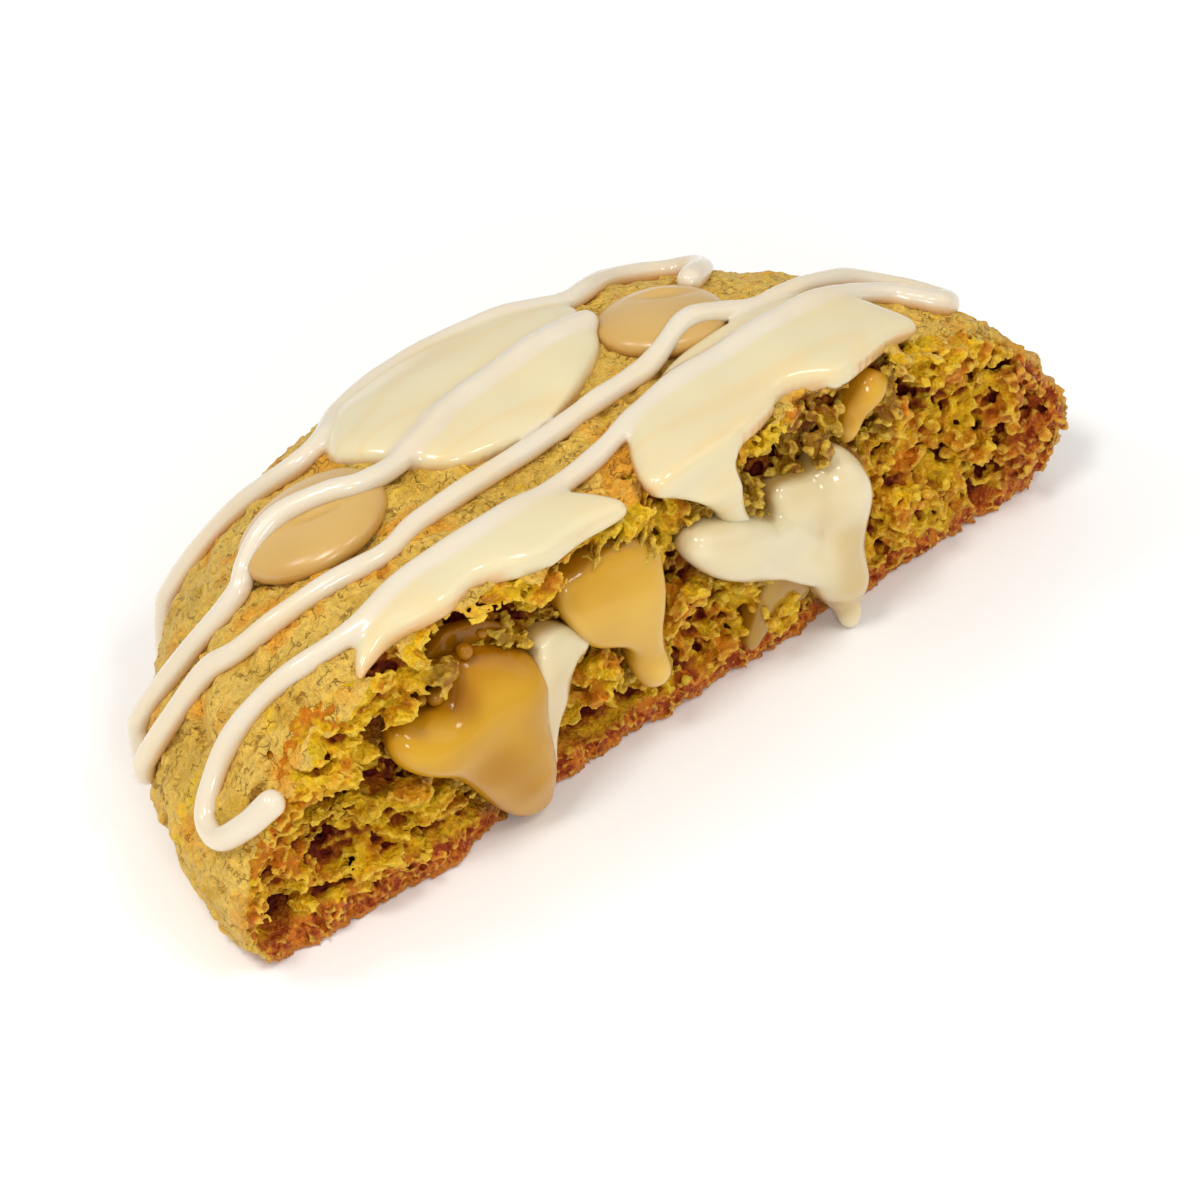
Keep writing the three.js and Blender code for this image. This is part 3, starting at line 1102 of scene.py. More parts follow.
@dataclass(frozen=True)
class CrumbFinish(Finish):
    """The torn crumb: bright yellow lips with painted highlight, amber below them, red-brown painted
    shade in the hollows, a browned base.
    """

    name: str = "torn_crumb"
    lime: Screen = (210, 170, 12)
    lemon: Screen = (234, 184, 10)
    mustard: Screen = (202, 126, 0)
    amber: Screen = (218, 122, 2)
    # Painted highlight: pale is laid on the crumb's convex lips.
    pale: Screen = (246, 208, 72)
    # Painted shade: sunk and hollow colour the crumb's hollows, darkest deep behind the face.
    sunk_shade: Screen = (158, 68, 2)
    hollow: Screen = (100, 18, 1)
    base: Screen = (214, 122, 24)
    ember: Screen = (150, 52, 5)
    soaked: Screen = (128, 80, 0)

    def driven(self, g: Graph) -> dict[str, Value]:
        """Makes the nodes.

        Args:
            g: The material's graph.

        Returns:
            The sources of the shader's driven sockets.
        """
        place = g.place()
        grain = g.group(self.effects.baked_grain, {"Place": place, "Wrinkle Share": 0.3})
        patch = g.math("MULTIPLY_ADD", g.cloud(place, 4.0, 2.0, 0.5), 1.5, -0.72)
        pick = g.math("MULTIPLY_ADD", g.mask(Mask.GRAIN), 0.6, patch, clamp=True)
        stops = [(0.0, self.lime), (0.22, self.lemon), (0.5, self.mustard), (0.8, self.amber)]
        colour = g.colours(pick, stops)
        colour = g.dimmed(colour, g.ease(grain.outputs["Speckle"], 0.3, 0.72, (0.74, 1.14)))
        embers = g.ease(g.cloud(place, 1.4, 4.0, 0.7), 0.42, 0.6)
        browned = g.mix(embers, linear(*self.ember), linear(*self.base))
        colour = g.mix(g.ease(g.mask(Mask.BROWN), 0.15, 0.85), colour, browned)
        wet, painted_shade = g.mask(Mask.WET), g.mask(Mask.PAINTED_SHADE)
        colour = g.tinted(wet, (0.2, 0.9, 0.7), colour, self.soaked)
        # Painted highlight on the convex lips.
        colour = g.tinted(g.mask(Mask.EDGE_HIGHLIGHT), (0.1, 0.5, 0.62), colour, self.pale)
        # Painted shade in the crumb's hollows.
        colour = g.tinted(painted_shade, (0.03, 0.3, 0.85), colour, self.sunk_shade)
        colour = g.tinted(painted_shade, (0.26, 0.6, 0.97), colour, self.hollow)
        driven = {"Base Color": colour, "Normal": g.relief(grain.outputs["Height"], 0.4)}
        driven["Roughness"] = g.ease(wet, 0.1, 0.8, (0.45, 0.16))
        driven["Specular IOR Level"] = g.ease(wet, 0.2, 0.8, (0.25, 0.42))
        return driven

    def plain(self) -> dict[str, Value]:
        """Lists the shader's plain values.

        Returns:
            The values, by socket.
        """
        return {
            "Subsurface Weight": 0.2,
            "Subsurface Radius": (1.0, 0.45, 0.1),
            "Subsurface Scale": 0.7 * MM,
        }


@dataclass(frozen=True)
class CrustFinish(Finish):
    """The sandy, golden-tan crust, with fine wrinkles and pits darkened by painted shade, warm
    patches and a browned base.
    """

    name: str = "baked_crust"
    sand: Screen = (232, 190, 84)
    olive: Screen = (214, 168, 56)
    warm: Screen = (234, 166, 46)
    fresh: Screen = (236, 192, 36)
    # Painted shade: dark goes into the wrinkles' creases and the pits.
    dark: Screen = (168, 110, 24)
    base: Screen = (206, 124, 34)
    soaked: Screen = (150, 98, 14)

    def driven(self, g: Graph) -> dict[str, Value]:
        """Makes the nodes.

        Args:
            g: The material's graph.

        Returns:
            The sources of the shader's driven sockets.
        """
        place = g.place()
        grain = g.group(self.effects.baked_grain, {"Place": place, "Wrinkle Share": 0.9})
        stops = [(0.36, self.olive), (0.46, self.sand), (0.53, self.sand), (0.63, self.warm)]
        colour = g.colours(grain.outputs["Patch"], stops)
        bright = g.cloud(place, 4.0, 3.0, 0.6)
        colour = g.tinted(bright, (0.56, 0.7, 0.8), colour, self.fresh)
        speckle = grain.outputs["Speckle"]
        colour = g.dimmed(colour, g.ease(speckle, 0.3, 0.7, (0.8, 1.1)))
        # Painted shade along the wrinkles and in the pits.
        colour = g.tinted(grain.outputs["Wrinkle"], (0.05, 0.6, 0.5), colour, self.dark)
        colour = g.tinted(g.mask(Mask.PAINTED_SHADE), (0.05, 0.3, 0.85), colour, self.dark)
        colour = g.tinted(g.mask(Mask.BROWN), (0.1, 0.9, 1.0), colour, self.base)
        colour = g.tinted(g.mask(Mask.WET), (0.3, 0.9, 0.85), colour, self.soaked)
        driven = {"Base Color": colour, "Normal": g.relief(grain.outputs["Height"], 0.5)}
        driven["Roughness"] = g.ease(speckle, 0.3, 0.7, (0.42, 0.68))
        return driven

    def plain(self) -> dict[str, Value]:
        """Lists the shader's plain values.

        Returns:
            The values, by socket.
        """
        return {
            "Specular IOR Level": 0.35,
            "Subsurface Weight": 0.12,
            "Subsurface Radius": (1.0, 0.6, 0.2),
            "Subsurface Scale": 0.8 * MM,
        }


@dataclass(frozen=True)
class SweetFinish(Finish):
    """A smooth sweet: white icing, a caramel disc, a melted filling or a wet glaze."""

    body: Screen
    # deep colours the marbling and streaks, and is also painted shade in grooves and hollows.
    deep: Screen
    # thin is painted shade where a sweet meets what it lies on, and on the white sweets also the
    # yellow beneath showing through their thin edges.
    thin: Screen
    spread: Screen
    roughness: Place = (0.3, 0.42)
    coat: float = 0.4
    scatter: float = 0.5
    depth: float = 1.4
    relief: float = 0.12
    marble: float = 0.35
    shine: float = 0.4
    gloss: float = 0.04
    streak: float = 0.0

    def driven(self, g: Graph) -> dict[str, Value]:
        """Makes the nodes.

        Args:
            g: The material's graph.

        Returns:
            The sources of the shader's driven sockets.
        """
        skin = g.group(self.effects.melted_skin, {"Place": g.place()})
        marble = skin.outputs["Marble"]
        # The spread colour: the pools' own cream, and painted light on flows' raised parts and rims
        # and on discs' tops.
        spread = g.mask(Mask.SPREAD_AND_PAINTED_LIGHT)
        colour = g.mix(spread, linear(*self.body), linear(*self.spread))
        colour = g.tinted(marble, (0.35, 0.8, self.marble), colour, self.deep)
        streak = g.math("MULTIPLY", skin.outputs["Streak"], spread)
        streak = g.math("MULTIPLY", streak, self.streak)
        colour = g.mix(streak, colour, linear(*self.deep))
        # Painted shade: the deep colour goes into grooves, hollows and painted shade streaks.
        colour = g.tinted(g.mask(Mask.PAINTED_SHADE), (0.04, 0.4, 0.8), colour, self.deep)
        # Painted shade at the contact, together with the yellow beneath showing through thin white
        # edges.
        colour = g.tinted(g.mask(Mask.LIFT), (0.75, 0.0, 0.85), colour, self.thin)
        driven = {"Base Color": colour, "Roughness": g.ease(marble, 0.2, 0.8, self.roughness)}
        driven["Normal"] = g.relief(skin.outputs["Height"], 0.4, self.relief)
        return driven

    def plain(self) -> dict[str, Value]:
        """Lists the shader's plain values.

        Returns:
            The values, by socket.
        """
        return {
            "Coat Weight": self.coat,
            "Coat Roughness": self.gloss,
            "Specular IOR Level": self.shine,
            "Subsurface Weight": self.scatter,
            "Subsurface Radius": (1.0, 0.75, 0.4),
            "Subsurface Scale": self.depth * MM,
        }


# ---- Dough: crust and crumb ----


@dataclass(frozen=True)
class CrustRelief:
    """The crust's unevenness: the sizes and heights of its forms, in millimetres.

    A pair of numbers says where something starts to show and where it is full.
    """

    reach: float = 1.8
    swell_size: float = 6.0
    swell: float = 0.6
    lump_size: float = 1.7
    lump: float = 0.36
    wrinkle: float = 0.24
    wrinkle_steepness: float = 2.4
    flake_size: float = 0.85
    flake: float = 0.3
    side_size: float = 4.5
    side: float = 0.5
    side_from: Place = (20.0, 8.0)
    pit_size: float = 1.9
    pit: float = 0.6
    cracks: tuple[Streak, ...] = (
        ((-44.8, 17.6), (-43.2, 15.6), 0.55, 1.3),
        ((-43.2, 15.6), (-44.4, 12.2), 0.5, 1.2),
    )
    crack_waver: float = 0.5
    crack_waver_size: float = 1.3
    peel: float = 3.2
    peel_x: float = -42.0
    peel_spread: float = 7.0
    peel_least: float = 1.0
    peel_waver: float = 1.4
    peel_waver_size: float = 3.0
    peel_depth: float = 0.9
    peel_height: Place = (10.0, 14.0)
    base_height: Place = (1.6, 0.4)
    base_grain: float = 0.15
    base_grain_size: float = 1.8

    def rise(self, x: Array, y: Array, z: Array, behind: Array) -> Array:
        """How far the crust stands out of its smooth form.

        Args:
            x, y, z: Places near the crust.
            behind: Their distance behind the torn face.

        Returns:
            The height at each, negative in a hollow.
        """
        rise = self.swell * fractal(x, y, z, self.swell_size, 2, 41)
        rise += self.lump * lumps(x, y, z, self.lump_size, 31)
        size = self.lump_size
        line = np.abs(noise(x / size + 9, y / size, z / size, 37))
        wrinkle = 1 - self.wrinkle_steepness * line
        rise += self.wrinkle * wrinkle + self.flake * lumps(x, y, z, self.flake_size, 43)
        upright = ramp(z, *self.side_from)
        rise += upright * self.side * fractal(x, y, z, self.side_size, 2, 61)
        rise -= self.pit * ramp(lumps(x, y, z, self.pit_size, 51), 0.42, 0.7)
        waver = self.crack_waver * lumps(x, y, 0 * x, self.crack_waver_size, 88)
        for start, end, width, depth in self.cracks:
            rise -= depth * bump(off_line(x + waver, y, start, end), 0, width)
        width = self.peel * bump(x, self.peel_x, self.peel_spread) + self.peel_least
        width = width + self.peel_waver * fractal(x, y, z, self.peel_waver_size, 2, 81)
        peeled = self.peel_depth * ramp(behind - width, 0.3, -0.3)
        rise -= peeled * ramp(z, *self.peel_height)
        low = ramp(z, *self.base_height)
        grain = self.base_grain * fractal(x, y, z, self.base_grain_size, 2, 71) - self.base_grain
        return rise * (1 - low) + low * grain


@dataclass(frozen=True)
class CrumbForm:
    """The torn crumb's plates, and the chips and jagged lips at their edges, in millimetres.

    A pair of numbers says where something starts to show and where it is full.
    """

    plate: Triple = (2.6, 2.4, 2.2)
    chip: Triple = (0.95, 0.9, 0.85)
    depth: float = 3.8
    proud: float = 2.8
    bend_size: float = 2.4
    bend: float = 0.75
    drift_size: float = 9.0
    drift: float = 1.8
    flaky_from: Place = (0.0, -14.0)
    flaky_bend: float = 0.5
    plate_squash: float = 0.95
    chip_squash: float = 0.8
    chip_bend_size: float = 0.5
    chip_bend: float = 0.25
    chip_reach: float = 0.9
    spike_size: float = 0.9
    spike: Place = (0.4, 1.5)  # the height of its point, and how steeply it falls
    burr_size: float = 0.45
    lip_share: float = 0.5
    lip_spike: float = 0.55
    lip_burr: float = 0.28
    firm_size: float = 2.4
    firm_lump: float = 0.6
    firm_spike: float = 0.7
    firm_burr: float = 0.35
    firm_base: Place = (4.4, 2.4)
    firm_crust: Place = (-2.4, -0.7)
    firm_side: Place = (22.0, 12.0)
    gap_size: Triple = (5.5, 5.5, 4.0)
    gap: float = 0.6
    gap_more: float = 0.2
    gap_more_from: Place = (20.0, 30.0)
    gap_behind: Place = (4.2, 1.0)
    lost_in_front: float = 0.66
    lost_behind: Place = (4.0, -0.4)
    all_lost_behind: Place = (-0.6, -1.5)
    held_by_crust: float = 0.45
    crust_from: Place = (-1.8, -0.5)
    covered_from: Place = (-1.1, 0.1)
    covered_behind: Place = (0.8, 0.0)

    def flaky(self, x: Array) -> Array:
        """How far the crumb is flaky and not grainy: none of it at the right, all at the left."""
        return ramp(x, *self.flaky_from)

    def lost(self, places: Sequence[Array], outside: Array, behind: Array, wet: Array) -> Array:
        """The share of plates that are gone, from none deep inside to all out in front.

        Args:
            places: X, Y and Z, each in the shape of the fields.
            outside: Distance outside the crust.
            behind: Distance behind the torn face.
            wet: Distance inside the fillings' outlines, over X and Z.

        Returns:
            The share at each point.
        """
        x, y, z = places
        crusty = ramp(outside, *self.crust_from)
        covered = np.broadcast_to(ramp(wet, *self.covered_from)[:, None], outside.shape)
        gaps = noise(*(p / size for p, size in zip((x, y, z), self.gap_size)), 131)
        gaps = gaps * (self.gap + self.gap_more * ramp(x, *self.gap_more_from))
        lost = self.lost_in_front * ramp(behind, *self.lost_behind)
        lost = lost + gaps * ramp(behind, *self.gap_behind)
        lost = lost * (1 - self.held_by_crust * crusty) + ramp(behind, *self.all_lost_behind)
        lost = lost + covered * ramp(behind, *self.covered_behind)
        return np.where(behind > self.depth, -1, lost).astype(np.float32)

    def broken(
        self, grid: Grid, outside: Array, behind: Array, wet: Array
    ) -> tuple[Array, Array]:
        """Breaks the torn face into plates, and their edges into chips or jagged lips.

        Args:
            grid: The grid of the fields.
            outside: Distance outside the crust.
            behind: Distance behind the torn face.
            wet: Distance inside the fillings' outlines, over X and Z.

        Returns:
            The distance into the crumb that is left, and each crumb's random share.
        """
        spread = [np.broadcast_to(a, outside.shape) for a in grid.axes()]
        near = (outside < 1.0) & (behind > -self.proud) & (behind < self.depth + 2)
        x, y, z = (a[near] for a in spread)
        flaky = self.flaky(x)
        bends = [self.bend * fractal(x, y, z, self.bend_size, 2, seed) for seed in (101, 103, 107)]
        drift = self.drift * lumps(x, y, z, self.drift_size, 109)
        raised = z + bends[2] * (1 - self.flaky_bend * flaky) + drift
        places = [x + bends[0], y + bends[1], raised * (1 + self.plate_squash * flaky)]
        lost = self.lost(spread, outside, behind, wet)

        def plate_kept(mx: Array, my: Array, mz: Array, chance: Array) -> Array:
            """A plate stays unless its chance falls under the share lost where it lies."""
            true_z = mz / (1 + self.plate_squash * self.flaky(mx))
            return chance > grid.nearest(lost, mx, my, true_z)

        plates = np.where(behind > 0, np.float32(FAR), np.float32(-FAR))
        plate_field, plate_grain = cell_field(places, self.plate, 211, plate_kept)
        plates[near] = np.clip(plate_field, -FAR, FAR)

        def chip_kept(mx: Array, my: Array, mz: Array, chance: Array) -> Array:
            """A chip stays if it lies in a plate, give or take part of a chip's size."""
            true_z = mz / (1 + self.chip_squash * self.flaky(mx))
            return grid.nearest(plates, mx, my, true_z) + (chance - 0.5) * self.chip_reach > 0

        wander = [self.chip_bend * lumps(x, y, z, self.chip_bend_size, seed) for seed in (1, 2, 3)]
        fine = [p + w for p, w in zip((x, y, z), wander)]
        fine[2] = fine[2] * (1 + self.chip_squash * flaky)
        chip_field, chip_grain = cell_field(fine, self.chip, 307, chip_kept)
        point, fall = self.spike
        spikes = point - fall * np.abs(lumps(x, y, z, self.spike_size, 331))
        burrs = lumps(x, y, z, self.burr_size, 337)
        lips = plate_field + self.lip_spike * spikes + self.lip_burr * burrs
        share = self.lip_share * flaky
        held = chip_field * (1 - share) + lips * share
        solid = behind[near] + self.firm_lump * fractal(x, y, z, self.firm_size, 2, 341)
        solid = solid + self.firm_spike * spikes + self.firm_burr * burrs
        firm = ramp(outside[near], *self.firm_crust) * ramp(z, *self.firm_side)
        firm = np.maximum(ramp(z, *self.firm_base), firm)
        held = held * (1 - firm) + solid * firm
        kept = plates.copy()
        kept[near] = held
        kept[behind > self.depth + 1.5] = FAR
        grain = np.zeros(outside.shape, np.float32)
        grain[near] = 0.5 * (plate_grain + chip_grain)
        return kept, grain


@dataclass(frozen=True)
class DoughFields:
    """The fields that the dough's masks are read from."""

    grid: Grid
    solid: Array
    outside: Array
    grain: Array
    wet: Array | None = None


@dataclass
class Dough:
    """The dough's crust and torn crumb: a fine front, and a coarser back that it runs into.

    The pairs for browned and soaked places say where they start to show and where they are full.
    """

    form: CookieForm
    tear: TearForm
    wet_outlines: tuple[Outline, ...]
    damp_outlines: tuple[Outline, ...]
    relief: CrustRelief = CrustRelief()
    crumb: CrumbForm = CrumbForm()
    front: Grid = Grid((-54.0, -3.9, -0.9), (54.0, 10.6, 31.8), 0.23)
    back: Grid = Grid((-54.0, 9.0, -0.9), (54.0, 46.8, 31.8), 0.42)
    cut: float = 10.2
    overlap: float = 0.9
    most_front: int = 440_000
    crumb_crease: float = math.radians(40)
    halves_meet: float = 1.0
    torn_depth: Place = (0.55, 0.95)
    torn_waver: float = 0.2
    torn_waver_size: float = 1.2
    # Painted shade: how strongly hollows and pits are darkened.
    hollow_shade_weights: Triple = (1.5, 1.2, 0.5)  # of small hollows, of large ones, and of depth
    hollow_shade_behind: Place = (0.8, 4.0)
    hollow_shade_depth: Place = (1.0, 2.8)
    hollow_shade_least: float = 0.12
    pit_shade_weight: float = 1.5
    edge_highlight_weight: float = 2.2
    patch_size: float = 5.0
    patch_height: float = 1.6
    brown_base: Place = (4.4, 1.8)
    brown_rim: Place = (2.6, 0.6)
    brown_rim_height: Place = (12.0, 6.0)
    brown_rim_share: float = 0.75
    brown_end: Place = (38.0, 47.0)
    brown_end_share: float = 0.85
    brown_crust: Place = (2.2, 0.2)
    soaked_out: Place = (-1.7, -0.1)
    soaked_in: Place = (3.4, 1.2)

    def build(self, effects: Effects) -> None:
        """Makes and dresses the crumb's two halves, and the crust's front and back.

        Args:
            effects: The effects that the finishes share.
        """
        crumb_look, crust_look = CrumbFinish(effects).material(), CrustFinish(effects).material()
        whole, fields = self._front_body()
        self._mark(whole, fields)
        torn = whole.masks.pop(Mask.TORN)[whole.faces].mean(axis=1) > 0.5
        left = whole.points[whole.faces].mean(axis=1)[:, 0] < self.halves_meet
        for name, chosen in (("left_crumb", torn & left), ("right_crumb", torn & ~left)):
            made = whole.part(name, chosen).to_object(self.crumb_crease)
            install(made, crumb_look, ["dough"])
        install(whole.part("front_crust", ~torn).to_object(), crust_look, ["dough"])
        self._back_crust(crust_look)

    def _back_crust(self, material: bpy.types.Material) -> None:
        """Makes the crust behind the crumb.

        Args:
            material: Its finish.
        """
        x, y, z = self.back.axes()
        outside = self.form.outside(x, y, z)
        solid = self._with_relief(self.back, outside, np.full_like(outside, 9))
        solid = np.maximum(solid, self.cut - self.overlap - y)
        piece = MeshPiece("back_crust", *self.back.surface(solid.astype(np.float32)))
        self._mark(piece, DoughFields(self.back, solid, outside, np.zeros(solid.shape, np.float32)))
        piece.masks.pop(Mask.TORN)
        install(piece.to_object(), material, ["dough"])

    def _front_body(self) -> tuple[MeshPiece, DoughFields]:
        """Makes the front's surface.

        Returns:
            The closed surface, and the fields that its masks are read from.
        """
        x, y, z = self.front.axes()
        outside = self.form.outside(x, y, z)
        behind = y - self.tear.rough(x, z)
        relieved = self._with_relief(self.front, outside, behind)
        flat = np.broadcast_arrays(x[:, 0], z[0])
        wet = np.max([inset(outline, *flat) for outline in self.wet_outlines], axis=0)
        damp = np.max([inset(outline, *flat) for outline in self.damp_outlines], axis=0)
        kept, grain = self.crumb.broken(self.front, relieved, behind, wet)
        solid = np.maximum(np.maximum(relieved, -kept), y - self.cut).astype(np.float32)
        points, faces = self.front.surface(solid)
        body = MeshPiece("dough", points, faces)
        body = body.part("dough", main_body(points, faces))
        log.info("front of the dough: %d faces", len(body.faces))
        ratio = self.most_front / (2 * len(body.faces))
        body = MeshPiece("dough", *thinned(body.points, body.faces, ratio))
        return body, DoughFields(self.front, solid, outside, grain, np.maximum(wet, damp))

    def _with_relief(self, grid: Grid, outside: Array, behind: Array) -> Array:
        """Roughens the smooth crust.

        Args:
            grid: The grid of the fields.
            outside: Distance outside the smooth crust.
            behind: Distance behind the torn face.

        Returns:
            Distance outside the rough crust.
        """
        relieved = outside.astype(np.float32)
        near = (np.abs(outside) < self.relief.reach) & (behind > -2.5)
        x, y, z = (np.broadcast_to(a, outside.shape)[near] for a in grid.axes())
        relieved[near] -= self.relief.rise(x, y, z, behind[near])
        return relieved

    def _mark(self, piece: MeshPiece, fields: DoughFields) -> None:
        """Writes the masks that the finishes read.

        Args:
            piece: The mesh.
            fields: The fields that it was made from.
        """
        grid, points = fields.grid, piece.points
        filled = grid.filled(fields.solid)
        x, y, z = points.T
        inner = y < self.cut - 0.3
        narrow, mid, wide = (grid.sample(blurred(filled, reach), points) - 0.5 for reach in (1, 2, 6))
        depth = -grid.sample(fields.outside, points)
        behind = y - self.tear.smooth(x, z)
        waver = self.torn_waver * lumps(x, y, z, self.torn_waver_size, 401)
        torn = ramp(depth + waver, *self.torn_depth) * inner
        piece.masks[Mask.TORN] = torn
        # Painted shade: small and large hollows, and depth behind the face, darken the crumb; wide
        # hollows darken the crust's pits.
        small, large, deep = self.hollow_shade_weights
        hollow = small * mid + large * wide + deep * ramp(behind, *self.hollow_shade_behind)
        least = self.hollow_shade_least
        hollow *= least + (1 - least) * ramp(depth, *self.hollow_shade_depth)
        hollow = hollow * torn + self.pit_shade_weight * wide * (1 - torn)
        piece.masks[Mask.PAINTED_SHADE] = np.clip(hollow, 0, 1) * inner
        # Painted highlight: convex lips, which the crumb's finish paints pale.
        piece.masks[Mask.EDGE_HIGHLIGHT] = np.clip(-self.edge_highlight_weight * narrow, 0, 1) * inner
        piece.masks[Mask.GRAIN] = grid.nearest(fields.grain, x, y, z)
        patchy = self.patch_height * fractal(x, y, z, self.patch_size, 2, 411)
        low = ramp(z + patchy, *self.brown_base)
        rim = ramp(depth + patchy, *self.brown_rim) * ramp(z, *self.brown_rim_height)
        end = ramp(x + patchy, *self.brown_end) * self.brown_end_share
        crumb_brown = np.maximum(np.maximum(low, self.brown_rim_share * rim), end)
        crust_brown = np.maximum(ramp(z + 0.5 * patchy, *self.brown_crust), 0.5 * end * inner)
        piece.masks[Mask.BROWN] = np.clip(crust_brown + (crumb_brown - crust_brown) * torn, 0, 1)
        piece.masks[Mask.WET] = np.zeros(len(points))
        if fields.wet is not None:
            places = np.stack([x, 0 * y + grid.low[1], z], 1)
            near = grid.sample(np.repeat(fields.wet[:, None], 2, axis=1), places)
            soaked = ramp(near + 0.6 * patchy, *self.soaked_out)
            soaked = soaked * ramp(behind - patchy, *self.soaked_in)
            piece.masks[Mask.WET] = soaked * inner


# ---- Melted patches, white icing and discs ----


@dataclass(frozen=True)
class Patch:
    """A melted patch: its widest outline, and how far it stands out of what it lies on."""

    outline: Outline
    rise: float
    shoulder: float
    reach: float = 3.0
    swells: tuple[Round, ...] = ()
    tuck: Triple | None = None  # where it starts to sink in, where it is fully in, and how far
    lift: float = 0.0
    slant: Place = (0.0, 0.0)  # where it adds nothing, and its slope
    cell: float = 0.4
    ripple: float = 0.08
    ripple_size: float = 5.0

    def field(self, u: Array, v: Array, out: Array, spacing: float) -> Array:
        """Distance outside the patch.

        Args:
            u, v: Coordinates over the surface, each along its own axis.
            out: Distance out of the surface.
            spacing: The grid's spacing.

        Returns:
            The field, negative inside the patch.
        """
        drop = inflate(self.outline, u, v, self.cell)
        climb = drop / (np.abs(drop) + self.shoulder**2)
        climb = climb / climb.max()
        flat = np.zeros(1, np.float32)
        rise = self.rise + self.ripple * lumps(u, v, flat, self.ripple_size, 77)
        for su, sv, radius, extra in self.swells:
            rise = rise + extra * np.maximum(0, 1 - ((u - su) ** 2 + (v - sv) ** 2) / radius**2) ** 2
        out = out - self.lift - self.slant[1] * (u - self.slant[0])
        if self.tuck:
            start, end, depth = self.tuck
            out = out + depth * ramp(v, start, end)
        height = np.where(out > 0, out / rise, out / self.reach)
        level = height**2 - climb
        slope = np.sqrt(sum(np.gradient(level, axis=k) ** 2 for k in range(3))) / spacing
        beside, beyond = -0.2 * drop, np.abs(out) - 1.6 * max(self.rise, self.reach) - 1
        away = np.maximum(np.maximum(beside, beyond), level / (slope + 1e-3))
        return np.clip(away, -FAR, FAR).astype(np.float32)

    def rise_at(self, u: Array, v: Array) -> Array:
        """How far the patch stands out at some places."""
        climb = np.clip(inset(self.outline, u, v) / self.shoulder, 0, 1)
        return self.rise * np.sqrt(1 - (1 - climb) ** 2)


@dataclass(frozen=True)
class DiscSeat:
    """Where a caramel disc lies on the crust."""

    x: float
    y: float
    radius: float
    half_thickness: float = 2.2
    lift: float = 0.1
    crease_turn: float = -0.55
    crease_at: float = 0.45
    lean: Place = (0.0, 0.09)


